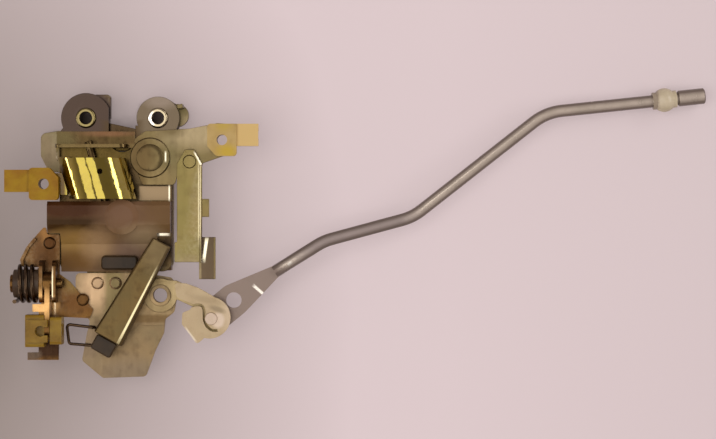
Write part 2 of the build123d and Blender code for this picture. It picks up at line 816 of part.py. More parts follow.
# Outer lever: bell-shaped plate on a shouldered stud, pushed by the outside handle's rod
outer_corners = [
    (5.4, -8.4),
    (9.6, -5.4),
    (27.2, -4.4),
    (38.4, -2.2),
    (44.2, -2.6),
    (44.2, -14.6),
    (40.0, -15.6),
    (32.0, -18.4),
    (23.2, -20.6),
    (21.4, -26.8),
    (8.4, -26.8),
    (6.0, -20.0),
]
outer_corner = 1.6
boss_radius = 8.0
boss_rise = 0.6
link_pin_radius = 2.5
link_lug = 5.2
stud_waist = 3.4
stud_head = 5.4
stud_head_thick = 1.2
return_wire = 0.55
return_radius = 5.6
return_turns = 1.75
return_pitch = 1.15
return_leg = 7.0
with BuildPart() as outer_lever:
    extrude(rounded_face(outer_corners, outer_corner, Plane.XY.offset(outer_low)), amount=lever_thick)
    with BuildSketch(Plane.XY.offset(outer_low)):
        with Locations(link_pin_spot):
            Circle(link_lug)
    extrude(amount=lever_thick)
    with BuildSketch(Plane.XY.offset(outer_high)):
        with Locations(outer_pivot):
            Circle(boss_radius)
    extrude(amount=boss_rise, taper=30)
    with BuildSketch(Plane.XY.offset(outer_low)):
        with Locations(outer_pivot):
            Circle(stud_waist + running_fit)
        with Locations(link_pin_spot):
            Circle(link_pin_radius)
        with Locations(outer_clip_spot):
            Circle(clip_peg + running_fit)
    extrude(amount=lever_thick + boss_rise, mode=Mode.SUBTRACT)
finish(outer_lever, "outer_lever")

with BuildPart() as lever_stud:
    head_low = outer_high + boss_rise + collar_gap
    profile = turned_section(outer_pivot, [
        (0, back_low - 0.8),
        (stud_waist, back_low - 0.8),
        (stud_waist, back_low),
        (lever_stud_neck, back_low),
        (lever_stud_neck, back_high),
        (stud_waist + 1.0, back_high),
        (stud_waist + 1.0, outer_low - collar_gap),
        (stud_waist, outer_low - collar_gap),
        (stud_waist, head_low),
        (stud_head, head_low),
        (stud_head, head_low + stud_head_thick / 2),
        (stud_waist, head_low + stud_head_thick),
        (0, head_low + stud_head_thick),
    ])
    revolve(profile, axis=Axis((*outer_pivot, 0), (0, 0, 1)))
finish(lever_stud, "lever_stud")

with BuildPart() as return_spring:
    low = back_high + return_wire + running_fit
    start = (outer_pivot[0] + return_radius, outer_pivot[1], low)
    with BuildLine():
        Helix(return_pitch, return_pitch * return_turns, return_radius, (*outer_pivot, low))
    with BuildSketch(Plane(origin=start, z_dir=(0, 1, 0))):
        Circle(return_wire)
    sweep()
    with Locations(Plane(origin=start, z_dir=(0, -1, 0))):
        Cylinder(return_wire, return_leg, align=from_base)
finish(return_spring, "return_spring")

outer_clip_seat = Plane(origin=(*outer_clip_spot, outer_high), x_dir=(1, 0, 0), z_dir=(0, 0, 1))
right_rod_clip = rod_clip(outer_clip_seat, lever_thick, 8.6, 2.0)
finish(right_rod_clip, "right_rod_clip")

# Release link: flat bar pinned to the outer lever; its low tab is what the inner lever lifts
link_left = 22.4
link_right = 32.4
link_top_y = -12.8
link_low_y = body_low_y + 3.8
link_chamfer = 4.0
link_foot_left = 21.4
link_foot_top_y = body_low_y + 11.8
hem_width = 1.0
hem_rise = 0.8
lift_wall = (1.4, 10.0)
lift_tab_right = 37.6
lift_tab_low_y = body_low_y - 3.0
lift_tab_thick = 1.6
side_tab = (35.2, -39.6, 7.2)
with BuildPart() as release_link:
    bar_corners = [
        (link_left, link_low_y + 8),
        (link_left, link_top_y - 1.4 * link_chamfer),
        (link_left + 0.8 * link_chamfer, link_top_y),
        (link_right - 0.8 * link_chamfer, link_top_y),
        (link_right, link_top_y - 1.4 * link_chamfer),
        (link_right, link_low_y),
        (link_foot_left, link_low_y),
        (link_foot_left, link_foot_top_y),
    ]
    extrude(rounded_face(bar_corners, 0.4, Plane.XY.offset(link_low)), amount=link_thick)
    with BuildSketch(Plane.XY.offset(link_high)):
        with Locations((link_right - hem_width, link_low_y)):
            Rectangle(hem_width, link_top_y - 1.6 * link_chamfer - link_low_y, align=Align.MIN)
    extrude(amount=hem_rise)
    with BuildSketch(Plane.XY.offset(link_low)):
        with Locations((link_right - 1, side_tab[1])):
            Rectangle(side_tab[0] - link_right + 1, side_tab[2], align=Align.MIN)
    extrude(amount=link_thick)
    with BuildSketch(Plane.XY.offset(inner_low)):
        with Locations((link_right - lift_wall[0], link_low_y)):
            Rectangle(lift_wall[0], lift_wall[1], align=Align.MIN)
    extrude(amount=link_high - inner_low)
    with BuildSketch(Plane.XY.offset(inner_low)):
        with Locations((link_right - lift_wall[0], lift_tab_low_y)):
            Rectangle(
                lift_tab_right - link_right + lift_wall[0],
                link_low_y + lift_wall[1] - lift_tab_low_y,
                align=Align.MIN,
            )
    extrude(amount=lift_tab_thick)
    with BuildSketch(Plane.XY.offset(link_low)):
        with Locations(link_pin_spot):
            Circle(link_pin_radius + running_fit)
    extrude(amount=link_thick, mode=Mode.SUBTRACT)
finish(release_link, "release_link")

with BuildPart() as link_pin:
    profile = turned_section(link_pin_spot, [
        (0, outer_low - 0.9),
        (link_pin_radius + 1.2, outer_low - 0.9),
        (link_pin_radius + 1.2, outer_low),
        (link_pin_radius, outer_low),
        (link_pin_radius, link_high),
        (0, link_high),
    ])
    revolve(profile, axis=Axis((*link_pin_spot, 0), (0, 0, 1)))
finish(link_pin, "link_pin")

# Pull rod: round bar with a flattened eye, cranked in plan and falling gently to its far end
rod_radius = 2.5
rod_reaches = [(25.0, 18.4), (44.8, 30.8), (80.4, 40.4), (134.0, 82.4), (198.0, 89.2)]
rod_neck, *rod_bends, rod_end = [(rod_pin_spot[0] + x, rod_pin_spot[1] + y) for x, y in rod_reaches]
rod_bend_radius = 22.0
paddle_thick = 2.2
paddle_eye = (rod_pin_spot[0] + 8.8, rod_pin_spot[1] + 7.2)
paddle_eye_radius = 3.1
paddle_half_width = 6.6
paddle_top = inner_low - loose_fit
paddle_low = paddle_top - paddle_thick
ball_radius = 4.8
ball_share = 0.745
sleeve_radius = 3.2
sleeve_length = 11.0
rod_start_z = (paddle_top + paddle_low) / 2
run_length = 0.0
lengths = []
for start, end in zip([rod_neck, *rod_bends], [*rod_bends, rod_end]):
    run_length += ((end[0] - start[0]) ** 2 + (end[1] - start[1]) ** 2) ** 0.5
    lengths.append(run_length)
rod_slope = (rod_start_z - ball_radius) / (lengths[2] + (lengths[3] - lengths[2]) * ball_share)
rod_points = [(*rod_neck, rod_start_z)]
for spot, distance in zip([*rod_bends, rod_end], lengths):
    rod_points.append((*spot, rod_start_z - rod_slope * distance))
last_bend = Vector(*rod_points[-2])
rod_tip = Vector(*rod_points[-1])
last_run = (rod_tip - last_bend).normalized()
ball_centre = last_bend + (rod_tip - last_bend) * ball_share
with BuildPart() as pull_rod:
    with BuildLine() as rod_path:
        FilletPolyline(*rod_points, radius=rod_bend_radius)
    with BuildSketch(Plane(origin=rod_points[0], z_dir=rod_path.line % 0)):
        Circle(rod_radius)
    sweep()
    with BuildSketch(Plane.XY.offset(paddle_low)):
        with Locations(rod_pin_spot, paddle_eye):
            Circle(paddle_half_width)
        make_hull()
        with Locations(paddle_eye):
            Circle(paddle_eye_radius, mode=Mode.SUBTRACT)
        with Locations(rod_pin_spot):
            Circle(rod_pin_radius, mode=Mode.SUBTRACT)
    extrude(amount=paddle_thick)
    with BuildSketch(Plane.XY.offset(paddle_low)):
        with Locations(paddle_eye):
            Circle(paddle_half_width)
        with Locations(rod_neck):
            Circle(rod_radius)
        make_hull()
        with Locations(paddle_eye):
            Circle(paddle_eye_radius, mode=Mode.SUBTRACT)
    extrude(amount=paddle_thick)
finish(pull_rod, "pull_rod")

with BuildPart() as rod_pin:
    profile = turned_section(rod_pin_spot, [
        (0, paddle_low - 1.0),
        (rod_pin_radius + 1.6, paddle_low - 1.0),
        (rod_pin_radius + 1.6, paddle_low),
        (rod_pin_radius, paddle_low),
        (rod_pin_radius, inner_high + hook_thick + 0.8),
        (0, inner_high + hook_thick + 0.8),
    ])
    revolve(profile, axis=Axis((*rod_pin_spot, 0), (0, 0, 1)))
finish(rod_pin, "rod_pin")

ball_plane = Plane(origin=ball_centre, z_dir=last_run)
with BuildPart() as rod_ball:
    with Locations(ball_centre):
        Sphere(ball_radius)
    with Locations(ball_plane):
        Cylinder(ball_radius * 0.72, 2 * ball_radius)
        Cylinder(rod_radius, 4 * ball_radius, mode=Mode.SUBTRACT)
finish(rod_ball, "rod_ball")

with BuildPart() as rod_sleeve:
    with Locations(Plane(origin=rod_tip, z_dir=-last_run)):
        Cylinder(sleeve_radius, sleeve_length, align=from_base)
        Cylinder(rod_radius, 3 * sleeve_length, mode=Mode.SUBTRACT)
    chamfer(rod_sleeve.edges().filter_by(GeomType.CIRCLE).sort_by(SortBy.RADIUS)[-2:], 0.5)
finish(rod_sleeve, "rod_sleeve")

# Crank bracket: folded plate on the lower bracket with two upright ears for the crank's axle
crank_corners = below_foot([
    (-30.2, 18.6),
    (-29.6, 14.8),
    (-24.6, 14.8),
    (-24.6, -1.0),
    (-20.4, -4.0),
    (-11.2, -15.2),
    (-12.6, -18.6),
    (-24.6, -18.0),
    (-25.0, -33.2),
    (-33.0, -33.2),
    (-33.0, -14.2),
    (-31.8, -12.4),
    (-31.8, 1.8),
    (-39.4, 1.8),
    (-40.2, 4.8),
    (-37.6, 10.0),
    (-33.8, 14.6),
])
crank_corner = 0.8
crank_ear_thick = 1.4
crank_ears_x = (-31.1, -25.9)
crank_ear_low_y = crank_axis_y - 7.6
crank_ear_length = 16.8
crank_ear_rise = 4.6
crank_ear_corner = 3.0
wing_lip = below_foot([
    (-34.6, 13.6),
    (-33.6, 12.8),
    (-36.4, 9.6),
    (-38.8, 4.6),
    (-38.6, 2.4),
    (-39.6, 2.4),
    (-40.1, 4.8),
    (-37.6, 9.8),
])
wing_lip_high = 4.0
crank_axle_radius = 2.0
crank_axle_left = -43.4
crank_axle_right = -22.8
crank_head = 3.6
crank_head_thick = 1.2
foot_left = -37.4
foot_right = -25.0
foot_low_y = body_low_y - 35.2
foot_width = 3.0
foot_drop = 7.0
foot_tip = 4.6
crank_axle_length = crank_axle_right - crank_axle_left
crank_axle_plane = Plane(origin=(crank_axle_left, crank_axis_y, crank_axis_z), z_dir=(1, 0, 0))
crank_middle_x = sum(crank_ears_x) / 2
with BuildPart() as crank_bracket:
    plate_face = rounded_face(crank_corners, crank_corner, Plane.XY.offset(bracket_high))
    extrude(plate_face, amount=crank_plate_thick)
    with BuildSketch(Plane.XY.offset(bracket_high)):
        with BuildLine():
            Polyline(*wing_lip, close=True)
        make_face()
    extrude(amount=wing_lip_high)
    for ear_x in crank_ears_x:
        with BuildSketch(Plane.YZ.offset(ear_x - crank_ear_thick / 2)):
            with Locations((crank_ear_low_y, bracket_high)):
                Rectangle(crank_ear_length, crank_axis_z + crank_ear_rise - bracket_high, align=Align.MIN)
        extrude(amount=crank_ear_thick)
    ear_corners = crank_bracket.edges().filter_by(Axis.X).group_by(Axis.Z)[-1]
    fillet(ear_corners, crank_ear_corner)
    with BuildSketch(Plane.XY.offset(bracket_high)):
        with Locations((foot_left, foot_low_y)):
            Rectangle(foot_right - foot_left, foot_width, align=Align.MIN)
    extrude(amount=crank_plate_thick)
    with BuildSketch(Plane.XY.offset(bracket_high - foot_drop)):
        with Locations((foot_left, foot_low_y)):
            Rectangle(foot_tip, crank_plate_thick, align=Align.MIN)
    extrude(amount=foot_drop)
    with Locations(crank_axle_plane):
        Cylinder(crank_axle_radius, crank_axle_length, align=from_base, mode=Mode.SUBTRACT)
    with BuildSketch(Plane.XY.offset(bracket_high)):
        with Locations(lug_spot, lobe_rivet):
            Circle(rivet_radius)
    extrude(amount=crank_plate_thick, mode=Mode.SUBTRACT)
finish(crank_bracket, "crank_bracket")

with BuildPart() as crank_axle:
    with Locations(crank_axle_plane):
        Cylinder(crank_axle_radius, crank_axle_length, align=from_base)
        Cylinder(crank_head, crank_head_thick, align=from_base)
    chamfer(crank_axle.edges().filter_by(GeomType.CIRCLE).sort_by(Axis.X)[-1], 0.4)
finish(crank_axle, "crank_axle")

# Bell crank on the axle between the ears, with an arm for the lower rod clip
crank_web = 2.0
crank_hub_radius = 4.6
crank_arm_half = 4.4
crank_clip_y = body_low_y - 23.2
crank_clip_z = 22.6
crank_tab_left = -34.4
crank_tab_y = body_low_y - 14.2
crank_tab_width = 3.0
crank_tab_thick = 1.6
crank_hub_width = crank_ears_x[1] - crank_ears_x[0] - crank_ear_thick - 2 * 0.15
with BuildPart() as bell_crank:
    with BuildSketch(Plane.YZ.offset(crank_middle_x - crank_web / 2)):
        with Locations((crank_axis_y, crank_axis_z)):
            Circle(crank_hub_radius)
        with Locations((crank_clip_y, crank_clip_z)):
            Circle(crank_arm_half)
        make_hull()
    extrude(amount=crank_web)
    with BuildSketch(Plane.YZ.offset(crank_middle_x - crank_hub_width / 2)):
        with Locations((crank_axis_y, crank_axis_z)):
            Circle(crank_hub_radius)
    extrude(amount=crank_hub_width)
    with BuildSketch(Plane.XY.offset(crank_axis_z + 2.0)):
        with Locations((crank_tab_left, crank_tab_y)):
            Rectangle(crank_middle_x - crank_tab_left, crank_tab_width, align=(Align.MIN, Align.CENTER))
    extrude(amount=crank_tab_thick)
    with Locations(crank_axle_plane):
        Cylinder(crank_axle_radius + running_fit, crank_axle_length, align=from_base, mode=Mode.SUBTRACT)
    with Locations(Plane(origin=(crank_axle_left, crank_clip_y, crank_clip_z), z_dir=(1, 0, 0))):
        Cylinder(clip_peg + running_fit, crank_axle_length, align=from_base, mode=Mode.SUBTRACT)
finish(bell_crank, "bell_crank")

crank_clip_seat = Plane(
    origin=(crank_middle_x - crank_web / 2, crank_clip_y, crank_clip_z),
    x_dir=(0, 0, 1),
    z_dir=(-1, 0, 0),
)
lower_clip_thick = 7.4
lower_jaw_length = 2.0
latch_half = 5.4
latch_thick = 4.6
latch_gap = 0.3
with BuildPart() as lower_rod_clip:
    add(rod_clip(crank_clip_seat, crank_web, lower_jaw_length, 0, lower_clip_thick).part)
    with BuildSketch(crank_clip_seat.offset(-crank_web - latch_gap)):
        RectangleRounded(2 * latch_half, 2 * latch_half, 1.4)
        Circle(clip_bore, mode=Mode.SUBTRACT)
    extrude(amount=-latch_thick)
finish(lower_rod_clip, "lower_rod_clip")

# Bush and torsion spring on the long end of the crank's axle
bush_left = crank_axle_left + crank_head_thick + 0.1
bush_right = crank_ears_x[0] - crank_ear_thick / 2 - 0.1
bush_outer = 5.6
coil_wire = 0.8
coil_radius = 7.0
coil_pitch = 2.4
coil_turns = 3.25
coil_leg = 6.0
with BuildPart() as spring_bush:
    with Locations(Plane(origin=(bush_left, crank_axis_y, crank_axis_z), z_dir=(1, 0, 0))):
        Cylinder(bush_outer, bush_right - bush_left, align=from_base)
        Cylinder(crank_axle_radius, crank_axle_length, align=from_base, mode=Mode.SUBTRACT)
finish(spring_bush, "spring_bush")

coil_start_x = bush_right - coil_wire - 0.4
with BuildPart() as crank_spring:
    with BuildLine():
        coil = Helix(
            coil_pitch,
            coil_pitch * coil_turns,
            coil_radius,
            (coil_start_x, crank_axis_y, crank_axis_z),
            direction=(-1, 0, 0),
        )
        coil_tail = (coil @ 0) - (coil % 0) * coil_leg
        Line(coil_tail, coil @ 0)
        Line(coil @ 1, (coil @ 1) + (coil % 1) * coil_leg)
    with BuildSketch(Plane(origin=coil_tail, z_dir=coil % 0)):
        Circle(coil_wire)
    sweep()
finish(crank_spring, "crank_spring")

# Snap wire: loop of spring wire, its two ends bent down into the edge of the lower bracket
snap_low = step_high - bracket_thick
with BuildPart() as snap_wire:
    with BuildLine() as snap_path:
        FilletPolyline(
            (*snap_corners[0][:2], snap_low),
            *snap_corners,
            (*snap_corners[-1][:2], snap_low),
            radius=snap_bend,
        )
    with BuildSketch(Plane(origin=snap_path.line @ 0, z_dir=snap_path.line % 0)):
        Circle(snap_wire_radius)
    sweep()
finish(snap_wire, "snap_wire")

# Rivets that hold the lower bracket, the crank bracket and the back plate together
rivet_head = 2.7
rivet_head_thick = 1.0
rivet_collar = 3.0


def rivet(spot, low, high, collar=()):
    # Closed rivet from the underside at low to the top face at high
    with BuildPart() as one:
        profile = turned_section(spot, [
            (0, low - rivet_head_thick),
            (rivet_head, low - rivet_head_thick),
            (rivet_head, low),
            (rivet_radius, low),
            *collar,
            (rivet_radius, high),
            (rivet_head, high),
            (rivet_head * 0.7, high + rivet_head_thick),
            (0, high + rivet_head_thick),
        ])
        revolve(profile, axis=Axis((*spot, 0), (0, 0, 1)))
    return one.part


spacer = [
    (rivet_radius, back_high),
    (rivet_collar, back_high),
    (rivet_collar, bracket_high),
    (rivet_radius, bracket_high),
]
with BuildPart() as bracket_rivets:
    for spot in tongue_rivets:
        add(rivet(spot, back_low, bracket_high))
    add(rivet(lobe_rivet, back_high, crank_plate_high))
    add(rivet(lug_spot, back_low, crank_plate_high, spacer))
finish(bracket_rivets, "bracket_rivets")
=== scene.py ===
import math
import bmesh
import bpy
from mathutils import Matrix, Vector

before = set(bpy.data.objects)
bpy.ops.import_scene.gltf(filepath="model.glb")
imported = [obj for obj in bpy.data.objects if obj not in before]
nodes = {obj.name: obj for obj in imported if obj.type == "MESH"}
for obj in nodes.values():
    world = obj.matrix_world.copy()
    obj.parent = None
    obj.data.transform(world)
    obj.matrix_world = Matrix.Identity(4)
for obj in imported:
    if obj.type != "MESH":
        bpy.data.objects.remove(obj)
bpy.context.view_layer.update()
mm = 0.001
print("frame loaded")


def newGroup(name, inputs, outputs):
    group = bpy.data.node_groups.new(name, "ShaderNodeTree")
    for label, kind, value in inputs:
        socket = group.interface.new_socket(name=label, in_out="INPUT", socket_type=kind)
        socket.default_value = value
    for label, kind in outputs:
        group.interface.new_socket(name=label, in_out="OUTPUT", socket_type=kind)
    return group


def addNode(tree, kind, values=None, **settings):
    node = tree.nodes.new(kind)
    for key, value in settings.items():
        setattr(node, key, value)
    for key, value in (values or {}).items():
        node.inputs[key].default_value = value
    return node


def feed(tree, node, slot, value):
    # value is a socket or a plain value
    if isinstance(value, bpy.types.NodeSocket):
        tree.links.new(value, node.inputs[slot])
    else:
        node.inputs[slot].default_value = value


def mixColour(tree, factor, first, second, blend="MIX"):
    mix = addNode(tree, "ShaderNodeMix", data_type="RGBA", blend_type=blend)
    for slot, value in ((0, factor), (6, first), (7, second)):
        feed(tree, mix, slot, value)
    return mix.outputs[2]


def mixValue(tree, factor, first, second):
    mix = addNode(tree, "ShaderNodeMix", data_type="FLOAT")
    for slot, value in ((0, factor), (2, first), (3, second)):
        feed(tree, mix, slot, value)
    return mix.outputs[0]


def mathNode(tree, operation, *values, clamp=False):
    node = addNode(tree, "ShaderNodeMath", operation=operation, use_clamp=clamp)
    for slot, value in enumerate(values):
        feed(tree, node, slot, value)
    return node.outputs[0]


def vectorNode(tree, operation, *values):
    node = addNode(tree, "ShaderNodeVectorMath", operation=operation)
    for slot, value in enumerate(values):
        feed(tree, node, slot, value)
    return node.outputs["Value" if operation == "LENGTH" else "Vector"]


def mapRange(tree, value, low, high, newLow=0.0, newHigh=1.0):
    node = addNode(tree, "ShaderNodeMapRange", {3: newLow, 4: newHigh})
    for slot, part in ((0, value), (1, low), (2, high)):
        feed(tree, node, slot, part)
    return node.outputs[0]


def noiseAt(tree, vector, scale, detail, roughness, stretch=None):
    if stretch:
        mapping = addNode(tree, "ShaderNodeMapping", {"Scale": stretch})
        tree.links.new(vector, mapping.inputs["Vector"])
        vector = mapping.outputs["Vector"]
    noise = addNode(tree, "ShaderNodeTexNoise", {"Detail": detail, "Roughness": roughness})
    feed(tree, noise, "Vector", vector)
    feed(tree, noise, "Scale", scale)
    return noise.outputs["Fac"]


# What every surface group gives to its material
surfaceOutputs = [
    ("Colour", "NodeSocketColor"), ("Roughness", "NodeSocketFloat"), ("Height", "NodeSocketFloat"),
]
# Noise scales are in waves per metre.
# A pair holds the levels where a mask starts and where it is full.
platingValues = {
    "tintEdges": (0.36, 0.64),
    "stainScale": 240.0,
    "stainEdges": (0.5, 0.72),
    "stainDulls": 0.25,
    "rubScale": 800.0,
    "rubEdges": (0.35, 0.65),
    "cornerEdges": (0.56, 0.68),
    "bareMetal": (0.66, 0.60, 0.45, 1),
    "fineScale": 1400.0,
    "rollScale": 700.0,
    "rollStretch": (1.0, 0.06, 1.0),
    "rollSpread": 0.2,
    "dentScale": 170.0,
}


def makePlatingGroup():
    # Passivated zinc: drifting tints, stains, rolling marks and edges rubbed bright
    own = platingValues
    group = newGroup(
        "platedSurface",
        [("Colour", "NodeSocketColor", (0.5, 0.4, 0.2, 1)),
         ("Tint", "NodeSocketColor", (0.4, 0.45, 0.3, 1)),
         ("Stain", "NodeSocketColor", (0.2, 0.12, 0.07, 1)),
         ("Stain amount", "NodeSocketFloat", 0.4),
         ("Roughness", "NodeSocketFloat", 0.3),
         ("Tint scale", "NodeSocketFloat", 120.0),
         ("Wear", "NodeSocketFloat", 0.3),
         ("Fine", "NodeSocketFloat", 1.0),
         ("Dents", "NodeSocketFloat", 0.0)],
        surfaceOutputs)
    source = group.nodes.new("NodeGroupInput").outputs
    result = group.nodes.new("NodeGroupOutput").inputs
    place = addNode(group, "ShaderNodeTexCoord").outputs["Object"]
    drift = noiseAt(group, place, source["Tint scale"], 2.0, 0.5)
    drifting = mapRange(group, drift, *own["tintEdges"])
    plating = mixColour(group, drifting, source["Colour"], source["Tint"])
    blots = noiseAt(group, place, own["stainScale"], 5.0, 0.65)
    stained = mathNode(group, "MULTIPLY", mapRange(group, blots, *own["stainEdges"]),
                       source["Stain amount"])
    colour = mixColour(group, stained, plating, source["Stain"])
    pointiness = addNode(group, "ShaderNodeNewGeometry").outputs["Pointiness"]
    broken = mapRange(group, noiseAt(group, place, own["rubScale"], 3.0, 0.6), *own["rubEdges"])
    corners = mapRange(group, pointiness, *own["cornerEdges"])
    rubbed = mathNode(group, "MULTIPLY", corners, broken)
    wear = mathNode(group, "MULTIPLY", rubbed, source["Wear"])
    colour = mixColour(group, wear, colour, own["bareMetal"])
    group.links.new(colour, result["Colour"])
    fine = noiseAt(group, place, own["fineScale"], 3.0, 0.6)
    rolled = noiseAt(group, place, own["rollScale"], 3.0, 0.7, own["rollStretch"])
    evened = mathNode(group, "SUBTRACT", rolled, 0.5)
    spread = mathNode(group, "MULTIPLY", evened, own["rollSpread"])
    rough = mathNode(group, "ADD", source["Roughness"], spread)
    dulling = mathNode(group, "MULTIPLY", stained, own["stainDulls"])
    group.links.new(mathNode(group, "ADD", rough, dulling, clamp=True), result["Roughness"])
    grain = mathNode(group, "MULTIPLY", mathNode(group, "ADD", fine, rolled), 0.5)
    dented = noiseAt(group, place, own["dentScale"], 2.0, 0.5)
    height = mathNode(group, "ADD", mathNode(group, "MULTIPLY", grain, source["Fine"]),
                      mathNode(group, "MULTIPLY", dented, source["Dents"]))
    group.links.new(height, result["Height"])
    return group


mouldingValues = {
    "toneEdges": (0.36, 0.64),
    "hollowEdges": (0.49, 0.42),
    "smearScale": 180.0,
    "smearEdges": (0.5, 0.72),
    "smearSpread": 0.18,
    "fineScale": 1500.0,
    "fineShare": 0.4,
    "flowScale": 160.0,
}


def makeMouldingGroup():
    # Moulded nylon and rubber: slow tone changes, flow marks, grime in the hollows
    own = mouldingValues
    group = newGroup(
        "mouldedSurface",
        [("Colour", "NodeSocketColor", (0.6, 0.5, 0.2, 1)),
         ("Second", "NodeSocketColor", (0.5, 0.35, 0.1, 1)),
         ("Grime", "NodeSocketColor", (0.12, 0.08, 0.05, 1)),
         ("Grime amount", "NodeSocketFloat", 0.4),
         ("Roughness", "NodeSocketFloat", 0.4),
         ("Tone scale", "NodeSocketFloat", 90.0)],
        surfaceOutputs)
    source = group.nodes.new("NodeGroupInput").outputs
    result = group.nodes.new("NodeGroupOutput").inputs
    place = addNode(group, "ShaderNodeTexCoord").outputs["Object"]
    drift = noiseAt(group, place, source["Tone scale"], 3.0, 0.55)
    tone = mapRange(group, drift, *own["toneEdges"])
    colour = mixColour(group, tone, source["Colour"], source["Second"])
    pointiness = addNode(group, "ShaderNodeNewGeometry").outputs["Pointiness"]
    hollow = mapRange(group, pointiness, *own["hollowEdges"])
    smear = mapRange(group, noiseAt(group, place, own["smearScale"], 6.0, 0.7), *own["smearEdges"])
    grime = mathNode(group, "MULTIPLY", mathNode(group, "ADD", hollow, smear, clamp=True),
                     source["Grime amount"])
    colour = mixColour(group, grime, colour, source["Grime"])
    group.links.new(colour, result["Colour"])
    evened = mathNode(group, "SUBTRACT", smear, 0.5)
    spread = mathNode(group, "MULTIPLY", evened, own["smearSpread"])
    rough = mathNode(group, "ADD", source["Roughness"], spread, clamp=True)
    group.links.new(rough, result["Roughness"])
    fine = noiseAt(group, place, own["fineScale"], 4.0, 0.6)
    flow = noiseAt(group, place, own["flowScale"], 2.0, 0.5)
    height = mathNode(group, "ADD", mathNode(group, "MULTIPLY", fine, own["fineShare"]), flow)
    group.links.new(height, result["Height"])
    return group


patchEdgeScale = 260.0


def makePatchGroup():
    # A place on a surface: 1 inside, fading to 0 past its edge.
    # Boxy turns the oval into a rectangle.
    group = newGroup(
        "patch",
        [("Centre", "NodeSocketVector", (0, 0, 0)),
         ("Size", "NodeSocketVector", (0.01, 0.01, 0.01)),
         ("Softness", "NodeSocketFloat", 0.4), ("Ragged", "NodeSocketFloat", 0.3),
         ("Boxy", "NodeSocketFloat", 0.0), ("Turn", "NodeSocketFloat", 0.0),
         ("Amount", "NodeSocketFloat", 1.0)],
        [("Mask", "NodeSocketFloat")])
    source = group.nodes.new("NodeGroupInput").outputs
    result = group.nodes.new("NodeGroupOutput").inputs
    place = addNode(group, "ShaderNodeTexCoord").outputs["Object"]
    offset = vectorNode(group, "SUBTRACT", place, source["Centre"])
    turned = addNode(group, "ShaderNodeVectorRotate", rotation_type="Z_AXIS", invert=True)
    group.links.new(offset, turned.inputs["Vector"])
    group.links.new(source["Turn"], turned.inputs["Angle"])
    scaled = vectorNode(group, "DIVIDE", turned.outputs["Vector"], source["Size"])
    scaled = vectorNode(group, "ABSOLUTE", scaled)
    across = addNode(group, "ShaderNodeSeparateXYZ")
    group.links.new(scaled, across.inputs[0])
    flatBox = mathNode(group, "MAXIMUM", across.outputs[0], across.outputs[1])
    boxed = mathNode(group, "MAXIMUM", flatBox, across.outputs[2])
    reach = mixValue(group, source["Boxy"], vectorNode(group, "LENGTH", scaled), boxed)
    uneven = mathNode(group, "SUBTRACT", noiseAt(group, place, patchEdgeScale, 4.0, 0.6), 0.5)
    reach = mathNode(group, "ADD", reach, mathNode(group, "MULTIPLY", uneven, source["Ragged"]))
    inner = mathNode(group, "SUBTRACT", 1.0, source["Softness"])
    outer = mathNode(group, "ADD", 1.0, source["Softness"])
    mask = mapRange(group, reach, outer, inner)
    group.links.new(mathNode(group, "MULTIPLY", mask, source["Amount"]), result["Mask"])
    return group


platingGroup = makePlatingGroup()
mouldingGroup = makeMouldingGroup()
patchGroup = makePatchGroup()


def spot(x, y, halfWidth, halfHeight, colour, amount=0.8, soft=0.5, ragged=0.5, boxy=0.0,
         rough=None, turn=0.0, z=14.0, halfDepth=60.0):
    # A coloured place on the latch, in millimetres and degrees
    return {
        "centre": (x * mm, y * mm, z * mm),
        "size": (halfWidth * mm, halfHeight * mm, halfDepth * mm),
        "colour": (*colour, 1),
        "amount": amount,
        "soft": soft,
        "ragged": ragged,
        "boxy": boxy,
        "rough": rough,
        "turn": math.radians(turn),
    }


def paintedGlint(x, y, halfWidth, halfHeight, turn=0.0, colour=(0.72, 0.66, 0.5)):
    # A painted highlight: a narrow bright line along an edge, made glossy
    return spot(x, y, halfWidth, halfHeight, colour, amount=0.9, soft=0.3, ragged=0.25, boxy=1.0,
                rough=0.2, turn=turn)


# How far a surface turns away before the painted rim shade starts, and where it is full
rimFacing = (0.01, 0.26)
coatRoughness = 0.03
# How deep the finest bumps are, in millimetres
reliefDepth = 0.05


